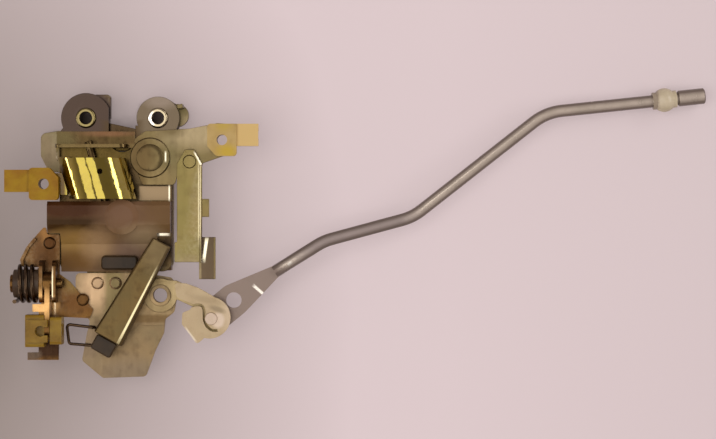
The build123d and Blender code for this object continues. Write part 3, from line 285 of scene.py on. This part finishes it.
def surfaceMaterial(name, group, colours, values, metallic, bump, specular, spots,
                    rimShade=None, coat=0.0):
    # colours and values fill the group's inputs; the rest is set on the shader itself.
    # The rim colour is a painted shade that round stock turns to at its outline, where it would
    # mirror the dark room.
    material = bpy.data.materials.new(name)
    material.use_nodes = True
    tree = material.node_tree
    shader = tree.nodes["Principled BSDF"]
    surface = addNode(tree, "ShaderNodeGroup", node_tree=group)
    for key, value in {**colours, **values}.items():
        surface.inputs[key].default_value = (*value, 1) if key in colours else value
    colour = surface.outputs["Colour"]
    rough = surface.outputs["Roughness"]
    for one in spots:
        patch = addNode(tree, "ShaderNodeGroup", {
            "Centre": one["centre"], "Size": one["size"], "Softness": one["soft"],
            "Ragged": one["ragged"], "Boxy": one["boxy"], "Turn": one["turn"],
            "Amount": one["amount"]}, node_tree=patchGroup)
        colour = mixColour(tree, patch.outputs["Mask"], colour, one["colour"])
        if one["rough"] is not None:
            rough = mixValue(tree, patch.outputs["Mask"], rough, one["rough"])
    # Painted shade: the colour darkens towards the outline as the surface turns away from view
    if rimShade is not None:
        edge = addNode(tree, "ShaderNodeLayerWeight")
        turned = mapRange(tree, edge.outputs["Facing"], *rimFacing)
        colour = mixColour(tree, turned, colour, (*rimShade, 1))
    tree.links.new(colour, shader.inputs["Base Color"])
    tree.links.new(rough, shader.inputs["Roughness"])
    relief = addNode(tree, "ShaderNodeBump", {"Strength": bump, "Distance": reliefDepth * mm})
    tree.links.new(surface.outputs["Height"], relief.inputs["Height"])
    tree.links.new(relief.outputs["Normal"], shader.inputs["Normal"])
    shader.inputs["Metallic"].default_value = metallic
    shader.inputs["Specular IOR Level"].default_value = specular
    shader.inputs["Coat Weight"].default_value = coat
    shader.inputs["Coat Roughness"].default_value = coatRoughness
    return material


def plated(name, colour, tint, stain, stainAmount=0.4, roughness=0.34, tintScale=90.0, bump=0.25,
           wear=0.25, fine=1.0, dents=0.0, spots=(), rimShade=None, coat=0.0, metallic=1.0,
           specular=0.5):
    return surfaceMaterial(
        name, platingGroup, {"Colour": colour, "Tint": tint, "Stain": stain},
        {"Stain amount": stainAmount, "Roughness": roughness, "Tint scale": tintScale,
         "Wear": wear, "Fine": fine, "Dents": dents},
        metallic, bump, specular, spots, rimShade, coat)


def moulded(name, colour, second, grime, grimeAmount=0.4, roughness=0.4, toneScale=90.0, bump=0.3,
            specular=0.16, metallic=0.0, spots=()):
    return surfaceMaterial(
        name, mouldingGroup, {"Colour": colour, "Second": second, "Grime": grime},
        {"Grime amount": grimeAmount, "Roughness": roughness, "Tone scale": toneScale},
        metallic, bump, specular, spots)


# A spot gives its place, its half sizes and its colour,
# then how much it covers, how soft its edge is and how ragged.
finishes = {
    "goldMirror": dict(
        make=plated,
        colour=(0.37, 0.28, 0.045), tint=(0.34, 0.27, 0.04), stain=(0.16, 0.095, 0.02),
        stainAmount=0.2, roughness=0.08, tintScale=60.0, bump=1.0, fine=0.03, dents=4.0,
        wear=0.1, coat=0.5,
        spots=[spot(-26, -25.5, 4.2, 6, (0.13, 0.07, 0.012), 0.95, 0.15, 0.1, boxy=1.0,
                    rough=0.45)]),
    "backPlating": dict(
        make=plated,
        colour=(0.082, 0.05, 0.021), tint=(0.066, 0.046, 0.022), stain=(0.035, 0.022, 0.012),
        stainAmount=0.5, roughness=0.26,
        spots=[spot(-14.4, 0, 12, 12, (0.051, 0.035, 0.028), 0.95, 0.12, 0.1, rough=0.2),
               spot(14.4, 1, 11, 10, (0.10, 0.076, 0.05), 0.95, 0.2, 0.2, rough=0.16),
               # Painted highlight at the top of the right ear
               spot(15.5, 7, 6, 3, (0.16, 0.125, 0.098), 0.8, 0.5, 0.3, rough=0.16),
               # Painted shade in the band below the ears
               spot(0, -4.6, 7.5, 3.4, (0.055, 0.036, 0.019), 0.9, 0.25, 0.2, boxy=1.0),
               spot(-11, -14, 15, 3.4, (0.085, 0.057, 0.016), 0.95, 0.25, 0.2, boxy=1.0),
               spot(12.8, -30, 5.9, 2.9, (0.23, 0.165, 0.095), 1.0, 0.06, 0.0, boxy=1.0, rough=0.3),
               spot(12.8, -26.8, 6.2, 0.5, (0.03, 0.02, 0.01), 0.9, 0.3, 0.0, boxy=1.0),
               # Painted highlight on a short lit edge near the top of the channel
               spot(16.6, -46.3, 2.2, 0.8, (0.7, 0.64, 0.5), 0.9, 0.3, 0.2, boxy=1.0, rough=0.15),
               # Painted shade in the gap beside the link
               spot(19, -52, 4.5, 5, (0.03, 0.02, 0.012), 0.85, 0.3, 0.3),
               # Painted highlight: a bright line beside the window
               paintedGlint(18.9, -30, 0.3, 2.9)]),
    "lobePlating": dict(
        make=plated,
        colour=(0.21, 0.16, 0.095), tint=(0.195, 0.16, 0.085), stain=(0.12, 0.08, 0.05),
        stainAmount=0.25, roughness=0.42),
    "leverPlating": dict(
        make=plated,
        colour=(0.17, 0.128, 0.056), tint=(0.15, 0.12, 0.055), stain=(0.10, 0.065, 0.03),
        stainAmount=0.35, roughness=0.34,
        spots=[spot(31, -6, 13, 6, (0.33, 0.26, 0.15), 0.85, 0.5, 0.3),
               spot(14, -25, 8, 5, (0.20, 0.145, 0.065), 0.7, 0.5, 0.3),
               spot(7.5, -16, 5.5, 8, (0.105, 0.068, 0.028), 0.8, 0.4, 0.3),
               spot(7.4, -25, 2.6, 4, (0.10, 0.066, 0.027), 0.8, 0.4, 0.2),
               spot(20, -4.5, 5, 3, (0.10, 0.072, 0.03), 0.7, 0.5, 0.3),
               # Painted highlight on the right edge of the lever's boss
               paintedGlint(17.8, -15.6, 0.3, 1.9)]),
    "linkPlating": dict(
        make=plated,
        colour=(0.215, 0.162, 0.064), tint=(0.195, 0.158, 0.060), stain=(0.15, 0.10, 0.045),
        stainAmount=0.3, roughness=0.33, wear=0.1,
        spots=[spot(25, -35, 3.2, 18, (0.185, 0.152, 0.05), 0.6, 0.5, 0.4),
               spot(27, -62, 8, 5.5, (0.25, 0.195, 0.115), 0.85, 0.5, 0.3),
               # Painted shade on the lift tab behind the link
               spot(34.5, -55.5, 2.6, 14, (0.095, 0.066, 0.042), 0.95, 0.15, 0.2, boxy=1.0),
               # Painted highlights along the link's right edge, its chamfer and its foot flange
               paintedGlint(31.4, -33.4, 0.55, 14.6, 0, (0.50, 0.43, 0.26)),
               paintedGlint(30.9, -16.4, 0.45, 2.8, 28),
               paintedGlint(33.5, -52.6, 0.6, 4.2, -8, (0.85, 0.8, 0.6))]),
    "channelPlating": dict(
        make=plated,
        colour=(0.13, 0.085, 0.033), tint=(0.112, 0.08, 0.034), stain=(0.07, 0.042, 0.02),
        stainAmount=0.4, roughness=0.36, wear=0.2,
        spots=[spot(15, -54, 6, 7, (0.165, 0.12, 0.06), 0.7, 0.5, 0.4),
               # Painted highlight along the channel's right edge
               paintedGlint(6.8, -75.1, 0.45, 14.4, -27.5, (0.62, 0.54, 0.32))]),
    "creamPlating": dict(
        make=plated,
        colour=(0.27, 0.20, 0.10), tint=(0.24, 0.18, 0.085), stain=(0.16, 0.11, 0.06),
        stainAmount=0.3, roughness=0.40, wear=0.1,
        spots=[spot(28, -69, 9, 8, (0.42, 0.325, 0.175), 0.9, 0.4, 0.3)]),
    "bracketPlating": dict(
        make=plated,
        colour=(0.24, 0.168, 0.088), tint=(0.205, 0.152, 0.082), stain=(0.145, 0.097, 0.058),
        stainAmount=0.4, roughness=0.42, wear=0.1,
        # Lighter cream patch: partly the plate's own tone, partly a painted reflection
        spots=[spot(-11.5, -68, 5.5, 8, (0.54, 0.37, 0.215), 0.85, 0.5, 0.4),
               spot(-3.2, -72, 3.2, 12, (0.20, 0.155, 0.07), 0.85, 0.3, 0.3, boxy=1.0),
               spot(-13.5, -90, 5, 8, (0.235, 0.17, 0.11), 0.7, 0.5, 0.4),
               spot(15, -75, 9, 4, (0.33, 0.235, 0.12), 0.8, 0.4, 0.3),
               # Painted shadow in a band below the eyelet's lobe
               spot(14, -80.2, 10, 1.5, (0.17, 0.11, 0.05), 0.9, 0.3, 0.1, boxy=1.0),
               # Painted shade at the plate's lower end
               spot(2, -102, 12, 6, (0.20, 0.15, 0.10), 0.7, 0.5, 0.4)]),
    "crankPlating": dict(
        make=plated,
        colour=(0.10, 0.048, 0.015), tint=(0.135, 0.068, 0.02), stain=(0.04, 0.02, 0.01),
        stainAmount=0.5, roughness=0.28, wear=0.08, bump=0.35,
        spots=[spot(-28.5, -54, 4, 8, (0.058, 0.026, 0.010), 0.9, 0.5, 0.6),
               # Painted highlight: a lighter orange patch on the upper wing
               spot(-31, -47, 2.6, 3.2, (0.20, 0.10, 0.035), 0.8, 0.5, 0.4),
               spot(-33, -56, 2.5, 8, (0.085, 0.042, 0.018), 0.8, 0.4, 0.4),
               spot(-31, -74, 5, 5, (0.64, 0.37, 0.14), 0.85, 0.4, 0.5),
               spot(-18, -73, 6, 5, (0.092, 0.042, 0.015), 0.85, 0.4, 0.3),
               spot(-19.5, -66, 4, 3.5, (0.15, 0.10, 0.035), 0.7, 0.5, 0.3),
               spot(-29, -92, 8, 4, (0.03, 0.015, 0.009), 0.95, 0.3, 0.3),
               # Painted highlight along the crank ear's edge
               paintedGlint(-26.5, -69, 0.35, 8, 0, (0.78, 0.64, 0.42)),
               spot(-35.5, -94.5, 3.5, 2.2, (0.08, 0.056, 0.039), 0.9, 0.3, 0.2)]),
    "shelfPlating": dict(
        make=plated,
        colour=(0.075, 0.05, 0.02), tint=(0.09, 0.054, 0.024), stain=(0.04, 0.024, 0.011),
        stainAmount=0.45, roughness=0.28, wear=0.3,
        spots=[spot(-24, -9.5, 6, 5, (0.09, 0.07, 0.03), 0.85, 0.4, 0.3),
               # Painted reflection: a reddish stripe across the shelf top
               spot(-5, -6.2, 9, 1.2, (0.14, 0.07, 0.035), 0.8, 0.5, 0.3),
               # Painted highlight along the shelf's lit front edge
               spot(-12, -11.6, 20, 1.1, (0.135, 0.095, 0.038), 0.8, 0.4, 0.2, boxy=1.0)]),
    "studSteel": dict(
        make=plated,
        colour=(0.44, 0.37, 0.24), tint=(0.36, 0.31, 0.21), stain=(0.16, 0.12, 0.07),
        stainAmount=0.2, roughness=0.12, bump=0.1, wear=0.0,
        spots=[spot(-14.4, -1.4, 5.5, 5.5, (0.19, 0.15, 0.06), 0.95, 0.1, 0.0),
               # Painted highlight on the right stud
               spot(11.6, -0.6, 1.5, 3.0, (0.92, 0.86, 0.74), 0.9, 0.3, 0.2, boxy=0.6)]),
    "rivetPlating": dict(
        make=plated,
        colour=(0.66, 0.47, 0.28), tint=(0.60, 0.43, 0.25), stain=(0.4, 0.27, 0.16),
        stainAmount=0.2, roughness=0.5, wear=0.0,
        # This rivet head takes the bracket's lighter patch around it, partly a painted reflection
        spots=[spot(-9.6, -66, 1.9, 1.9, (0.52, 0.36, 0.21), 1.0, 0.05, 0.0),
               spot(-2.4, -66, 1.9, 1.9, (0.22, 0.17, 0.08), 1.0, 0.05, 0.0),
               spot(-25, -52, 6, 14, (0.105, 0.048, 0.018), 1.0, 0.1, 0.0, boxy=1.0),
               spot(-15.4, -72.6, 3.4, 3.4, (0.15, 0.075, 0.025), 1.0, 0.1, 0.0)]),
    "rodSteel": dict(
        make=plated,
        colour=(0.68, 0.585, 0.49), tint=(0.59, 0.51, 0.42), stain=(0.36, 0.30, 0.25),
        # The rim colour paints the rod's dark outline, where it would mirror the dark room
        stainAmount=0.4, roughness=0.2, tintScale=140.0, wear=0.1, rimShade=(0.17, 0.135, 0.11),
        metallic=0.45,
        spots=[spot(92, -46, 30, 14, (0.30, 0.245, 0.23), 0.9, 0.3, 0.2, rough=0.62),
               spot(50, -70, 19, 16, (0.205, 0.15, 0.122), 0.95, 0.15, 0.2, rough=0.36),
               # Painted highlights: a glint on the paddle's crease and a bright dot
               paintedGlint(54.8, -68.8, 0.55, 2.6, 49, (0.85, 0.8, 0.7)),
               paintedGlint(67.2, -58.2, 0.9, 0.5, 40, (0.9, 0.85, 0.75))]),
    "springSteel": dict(
        make=plated,
        colour=(0.085, 0.05, 0.026), tint=(0.066, 0.042, 0.025), stain=(0.03, 0.018, 0.01),
        roughness=0.2, wear=0.1),
    "yellowNylon": dict(
        make=moulded,
        colour=(0.33, 0.19, 0.003), second=(0.28, 0.13, 0.003), grime=(0.14, 0.06, 0.008),
        grimeAmount=0.35, roughness=0.42, toneScale=110.0),
    "amberNylon": dict(
        make=moulded,
        colour=(0.27, 0.165, 0.018), second=(0.20, 0.105, 0.01), grime=(0.05, 0.025, 0.008),
        grimeAmount=0.4, roughness=0.34, toneScale=120.0),
    "ochreNylon": dict(
        make=moulded,
        colour=(0.52, 0.37, 0.15), second=(0.47, 0.32, 0.10), grime=(0.30, 0.2, 0.1),
        grimeAmount=0.3, roughness=0.42,
        spots=[spot(51, -6, 4.5, 7, (0.68, 0.48, 0.19), 0.9, 0.15, 0.1, boxy=1.0),
               spot(42.5, -13.6, 3.6, 2.6, (0.55, 0.38, 0.03), 0.8, 0.5, 0.4),
               spot(41, -3, 3, 2.5, (0.50, 0.36, 0.05), 0.6, 0.5, 0.4)]),
    "creamNylon": dict(
        make=moulded,
        colour=(0.52, 0.40, 0.225), second=(0.50, 0.375, 0.21), grime=(0.30, 0.21, 0.11),
        grimeAmount=0.35, roughness=0.36, toneScale=120.0, bump=0.2, specular=0.35,
        # Painted highlight on the hook's right rim
        spots=[spot(44, -78, 3.4, 8, (0.64, 0.50, 0.33), 0.75, 0.5, 0.3),
               spot(38.8, -80.6, 2.5, 3.0, (0.74, 0.60, 0.46), 0.9, 0.25, 0.15),
               # Painted shade in the hook's slit
               spot(38.4, -76.2, 3.2, 1.1, (0.28, 0.205, 0.11), 0.75, 0.4, 0.2, turn=-20),
               spot(34, -72.5, 6, 1.3, (0.36, 0.265, 0.14), 0.6, 0.5, 0.3, turn=-14),
               spot(32.5, -79, 2.2, 4.2, (0.45, 0.34, 0.19), 0.6, 0.5, 0.3),
               # Painted highlight along the hook's lower edge
               spot(27.6, -86.5, 0.7, 3.2, (0.86, 0.76, 0.58), 0.8, 0.3, 0.2, boxy=1.0, turn=37)]),
    "whiteNylon": dict(
        make=moulded,
        colour=(0.57, 0.49, 0.35), second=(0.50, 0.43, 0.29), grime=(0.33, 0.27, 0.18),
        grimeAmount=0.3, roughness=0.35, toneScale=150.0, bump=0.2, specular=0.35,
        spots=[spot(213.6, 7.4, 1.4, 7, (0.30, 0.24, 0.18), 0.9, 0.3, 0.2, boxy=1.0)]),
    "pinNylon": dict(
        make=moulded,
        colour=(0.68, 0.53, 0.42), second=(0.62, 0.49, 0.36), grime=(0.38, 0.28, 0.19),
        grimeAmount=0.25, roughness=0.36, toneScale=150.0, bump=0.2, specular=0.35),
    "brownMoulding": dict(
        make=moulded,
        colour=(0.15, 0.085, 0.033), second=(0.18, 0.105, 0.05), grime=(0.05, 0.022, 0.009),
        grimeAmount=0.45, roughness=0.34, toneScale=70.0, specular=0.07,
        spots=[spot(-20, -36, 18, 5, (0.068, 0.024, 0.008), 0.95, 0.4, 0.3),
               # Painted shadow line along the housing's lower left edge
               spot(-20, -42.5, 13, 2.6, (0.045, 0.02, 0.004), 0.95, 0.4, 0.3, boxy=1.0),
               # Painted glare, pinkish, on the cover's greasy lump
               spot(1, -37, 9, 7, (0.19, 0.105, 0.06), 0.85, 0.6, 0.4, rough=0.24),
               spot(17, -36, 8, 5, (0.155, 0.085, 0.034), 0.7, 0.5, 0.5),
               spot(-19, -50, 9, 5, (0.33, 0.195, 0.055), 0.8, 0.5, 0.4),
               spot(-19, -57, 9, 4, (0.16, 0.075, 0.014), 0.8, 0.5, 0.4),
               # Painted glare patches on the cover: light tan, bluish grey and teal grey
               spot(-9, -51, 6, 6, (0.39, 0.25, 0.125), 0.8, 0.6, 0.5),
               spot(3, -53, 6, 5, (0.20, 0.125, 0.082), 0.8, 0.5, 0.5),
               spot(9, -47, 7, 4, (0.31, 0.225, 0.125), 0.8, 0.6, 0.5, rough=0.26)]),
    "bushMoulding": dict(
        make=moulded,
        colour=(0.06, 0.034, 0.02), second=(0.08, 0.05, 0.03), grime=(0.03, 0.018, 0.012),
        grimeAmount=0.4, roughness=0.36),
    "blackRubber": dict(
        make=moulded,
        colour=(0.027, 0.017, 0.008), second=(0.043, 0.026, 0.012), grime=(0.08, 0.05, 0.026),
        grimeAmount=0.3, roughness=0.16, toneScale=120.0, bump=0.6, specular=0.14),
}
for label, values in finishes.items():
    settings = dict(values)
    make = settings.pop("make")
    values["material"] = make(label, **settings)
print("materials made")

nodeFinish = {
    "face_plate": "lobePlating",
    "pivot_stud_left": "studSteel",
    "pivot_stud_right": "studSteel",
    "fork": "backPlating",
    "pawl": "leverPlating",
    "fork_spring": "springSteel",
    "pawl_spring": "springSteel",
    "housing_tray": "brownMoulding",
    "screw_bush": "studSteel",
    "mouth_cushion": "blackRubber",
    "back_plate": "backPlating",
    "shelf_bracket": "shelfPlating",
    "rocker_axle": "shelfPlating",
    "locking_rocker": "goldMirror",
    "left_rod_clip": "yellowNylon",
    "housing_cover": "brownMoulding",
    "stop_bumper": "blackRubber",
    "lower_bracket": "bracketPlating",
    "inner_eyelet": "bracketPlating",
    "inner_lever": "creamPlating",
    "lever_channel": "channelPlating",
    "bump_stop": "blackRubber",
    "hook_clip": "creamNylon",
    "outer_lever": "leverPlating",
    "lever_stud": "leverPlating",
    "return_spring": "springSteel",
    "right_rod_clip": "ochreNylon",
    "release_link": "linkPlating",
    "link_pin": "linkPlating",
    "pull_rod": "rodSteel",
    "rod_pin": "pinNylon",
    "rod_ball": "whiteNylon",
    "rod_sleeve": "rodSteel",
    "crank_bracket": "crankPlating",
    "crank_axle": "crankPlating",
    "bell_crank": "crankPlating",
    "lower_rod_clip": "amberNylon",
    "spring_bush": "bushMoulding",
    "crank_spring": "springSteel",
    "snap_wire": "springSteel",
    "bracket_rivets": "rivetPlating",
}
# How far edges are broken, in millimetres
softEdges = {
    "stop_bumper": 1.2,
    "left_rod_clip": 0.6,
    "right_rod_clip": 0.6,
    "lower_rod_clip": 0.6,
    "hook_clip": 0.9,
    "housing_cover": 0.9,
    "bump_stop": 0.6,
    "locking_rocker": 0.3,
    "lever_channel": 0.6,
    "release_link": 0.5,
    "outer_lever": 0.4,
    "lower_bracket": 0.3,
    "bracket_rivets": 0.4,
}
usualEdge = 0.25
noEdges = ("pull_rod", "rod_ball", "fork_spring", "pawl_spring", "return_spring",
           "crank_spring", "snap_wire")
# Lengths in millimetres, angles in degrees
edgeValues = {
    "weldDistance": 0.002,
    "flatAngle": 1.0,
    "sharpAngle": 35,
    "splitAngle": 40,
    "segments": 2,
}


def weldFaces(piece):
    weld = piece.modifiers.new("weld", "WELD")
    weld.merge_threshold = edgeValues["weldDistance"] * mm


def roundEdges(piece, width):
    # Joins the flat faces and breaks the sharp edges
    flat = piece.modifiers.new("flat", "DECIMATE")
    flat.decimate_type = "DISSOLVE"
    flat.angle_limit = math.radians(edgeValues["flatAngle"])
    bevel = piece.modifiers.new("edges", "BEVEL")
    bevel.width = width * mm
    bevel.segments = edgeValues["segments"]
    bevel.limit_method = "ANGLE"
    bevel.angle_limit = math.radians(edgeValues["sharpAngle"])
    bevel.use_clamp_overlap = True
    normals = piece.modifiers.new("normals", "WEIGHTED_NORMAL")
    normals.keep_sharp = True


for name, node in nodes.items():
    node.data.materials.clear()
    node.data.materials.append(finishes[nodeFinish[name]]["material"])
    if "custom_normal" in node.data.attributes:
        node.data.attributes.remove(node.data.attributes["custom_normal"])
    for face in node.data.polygons:
        face.use_smooth = True
    weldFaces(node)
    if name in noEdges:
        split = node.modifiers.new("split", "EDGE_SPLIT")
        split.split_angle = math.radians(edgeValues["splitAngle"])
    else:
        roundEdges(node, softEdges.get(name, usualEdge))
print("nodes dressed")

# A pale sheet with painted shade: dim around dimCentre, and falling off to a darker tone at its
# right end.
# Lengths are in metres, apart from covered, which is in millimetres.
floorValues = {
    "size": 3.0,
    "drop": 0.0002,
    "pale": (0.80, 0.675, 0.69),
    # Painted shade of the floor around dimCentre
    "dim": (0.30, 0.25, 0.22),
    "dimCentre": (-0.155, -0.082, 0.0),
    "dimReach": (0.10, 0.265),
    "driftScale": 6.0,
    "driftReach": 0.03,
    # Painted falloff: a darker tone at the floor's right end
    "far": (0.73, 0.62, 0.63),
    "farShadeFrom": (0.13, 0.27),
    "roughness": 0.75,
    "specular": 0.1,
    "litShare": 0.55,
    "ownTone": 0.39,
    # Ground right under the latch, which only the lamps light
    "covered": [((-1, -32, 0), (22, 27, 9)), ((-16, 0.5, 0), (6, 6, 9)), ((12, 0.5, 0), (6, 6, 9))],
    "coveredEdge": {"Softness": 0.25, "Ragged": 0.2, "Boxy": 0.5, "Amount": 1.0},
}


def makeFloor():
    own = floorValues
    mesh = bpy.data.meshes.new("floor")
    half = own["size"] / 2
    shape = bmesh.new()
    places = ((-half, -half), (half, -half), (half, half), (-half, half))
    shape.faces.new([shape.verts.new((x, y, 0)) for x, y in places])
    shape.to_mesh(mesh)
    shape.free()
    floor = bpy.data.objects.new("floor", mesh)
    bpy.context.scene.collection.objects.link(floor)
    floor.location = (0, 0, -own["drop"])
    material = bpy.data.materials.new("paleSheet")
    material.use_nodes = True
    tree = material.node_tree
    shader = tree.nodes["Principled BSDF"]
    place = addNode(tree, "ShaderNodeTexCoord").outputs["Object"]
    away = vectorNode(tree, "LENGTH", vectorNode(tree, "SUBTRACT", place, own["dimCentre"]))
    drift = noiseAt(tree, place, own["driftScale"], 2.0, 0.5)
    slow = mathNode(tree, "MULTIPLY", drift, own["driftReach"])
    # Painted shade: the floor darkens towards dimCentre
    fade = mapRange(tree, mathNode(tree, "ADD", away, slow), *own["dimReach"])
    colour = mixColour(tree, fade, (*own["dim"], 1), (*own["pale"], 1))
    parts = addNode(tree, "ShaderNodeSeparateXYZ")
    tree.links.new(place, parts.inputs[0])
    # Painted falloff: the floor darkens towards its right end
    farShadeMask = mapRange(tree, parts.outputs[0], *own["farShadeFrom"])
    colour = mixColour(tree, farShadeMask, colour, (*own["far"], 1))
    lit = own["litShare"]
    shaded = mixColour(tree, 1.0, colour, (lit, lit, lit, 1), "MULTIPLY")
    tree.links.new(shaded, shader.inputs["Base Color"])
    shader.inputs["Roughness"].default_value = own["roughness"]
    shader.inputs["Specular IOR Level"].default_value = own["specular"]
    # The rest of its tone is its own, so that the shade under the latch stays light
    rays = addNode(tree, "ShaderNodeLightPath").outputs
    mirrored = mathNode(tree, "MAXIMUM", rays["Is Glossy Ray"], rays["Is Transmission Ray"])
    seen = mathNode(tree, "MAXIMUM", rays["Is Camera Ray"], mirrored)
    for centre, size in own["covered"]:
        covered = addNode(tree, "ShaderNodeGroup", {
            "Centre": [part * mm for part in centre], "Size": [part * mm for part in size],
            **own["coveredEdge"]}, node_tree=patchGroup)
        uncovered = mathNode(tree, "SUBTRACT", 1.0, covered.outputs["Mask"])
        seen = mathNode(tree, "MULTIPLY", seen, uncovered)
    tree.links.new(colour, shader.inputs["Emission Color"])
    glow = mathNode(tree, "MULTIPLY", seen, own["ownTone"])
    tree.links.new(glow, shader.inputs["Emission Strength"])
    mesh.materials.append(material)


roomValues = {
    "colour": (1.0, 0.84, 0.82),
    "ceilingStrength": 0.28,
    "wallStrength": 0.62,
    "ceilingFrom": (0.25, 0.6),
}


def makeRoom():
    # Walls a little brighter than the ceiling, so that upright faces have something to show
    world = bpy.data.worlds.new("room")
    world.use_nodes = True
    tree = world.node_tree
    direction = addNode(tree, "ShaderNodeTexCoord").outputs["Generated"]
    parts = addNode(tree, "ShaderNodeSeparateXYZ")
    tree.links.new(direction, parts.inputs[0])
    strength = mapRange(tree, parts.outputs[2], *roomValues["ceilingFrom"],
                        roomValues["wallStrength"], roomValues["ceilingStrength"])
    background = tree.nodes["Background"]
    background.inputs["Color"].default_value = (*roomValues["colour"], 1)
    tree.links.new(strength, background.inputs["Strength"])
    bpy.context.scene.world = world


# Soft boxes stand in an arc over the rocker, long side parallel to its axle.
# angle is from overhead towards the right; radiance is what a mirror facing the box shows.
arcValues = {
    "centre": (0.0, -0.025, 0.02),
    "across": (0.9613, 0.2756, 0.0),
    "along": (-0.2756, 0.9613, 0.0),
}
softBoxes = {
    "leftStrip": dict(
        angle=-87, distance=1.4, width=0.2, length=1.4, radiance=9.0, colour=(1, 0.98, 0.98)),
    "leftOverhead": dict(
        angle=-36, distance=1.9, width=0.93, length=1.7, radiance=1.9, colour=(1, 0.98, 0.95)),
    "overhead": dict(
        angle=-6, distance=1.6, width=0.62, length=1.7, radiance=1.9, colour=(1, 0.98, 0.95)),
    "rightStrip": dict(
        angle=57.5, distance=1.4, width=0.26, length=1.5, radiance=6.5, colour=(1, 0.98, 0.97)),
}


def addSoftBox(name, angle, distance, width, length, radiance, colour):
    across, along = Vector(arcValues["across"]), Vector(arcValues["along"])
    turn = math.radians(angle)
    outward = across * math.sin(turn) + Vector((0, 0, math.cos(turn)))
    lamp = bpy.data.lights.new(name, "AREA")
    lamp.shape = "RECTANGLE"
    lamp.size, lamp.size_y = length, width
    lamp.energy = radiance * math.pi * width * length
    lamp.color = colour
    holder = bpy.data.objects.new(name, lamp)
    bpy.context.scene.collection.objects.link(holder)
    axes = Matrix((along, outward.cross(along), outward)).transposed().to_4x4()
    spotAt = Vector(arcValues["centre"]) + outward * distance
    holder.matrix_world = Matrix.Translation(spotAt) @ axes


makeFloor()
makeRoom()
for label, values in softBoxes.items():
    addSoftBox(label, **values)

# In metres, apart from the sensor width, which is in millimetres
cameraValues = {
    "middle": (0.0944, -0.0406),
    "height": 1.15,
    "viewWidth": 0.2864,
    "subjectHeight": 0.012,
    "sensor": 36,
}
cameraData = bpy.data.cameras.new("camera")
camera = bpy.data.objects.new("camera", cameraData)
bpy.context.scene.collection.objects.link(camera)
bpy.context.scene.camera = camera
cameraData.sensor_width = cameraValues["sensor"]
subjectDistance = cameraValues["height"] - cameraValues["subjectHeight"]
cameraData.lens = cameraValues["sensor"] * subjectDistance / cameraValues["viewWidth"]
camera.location = (*cameraValues["middle"], cameraValues["height"])
bpy.context.scene.view_settings.view_transform = "Standard"
print("stage ready")
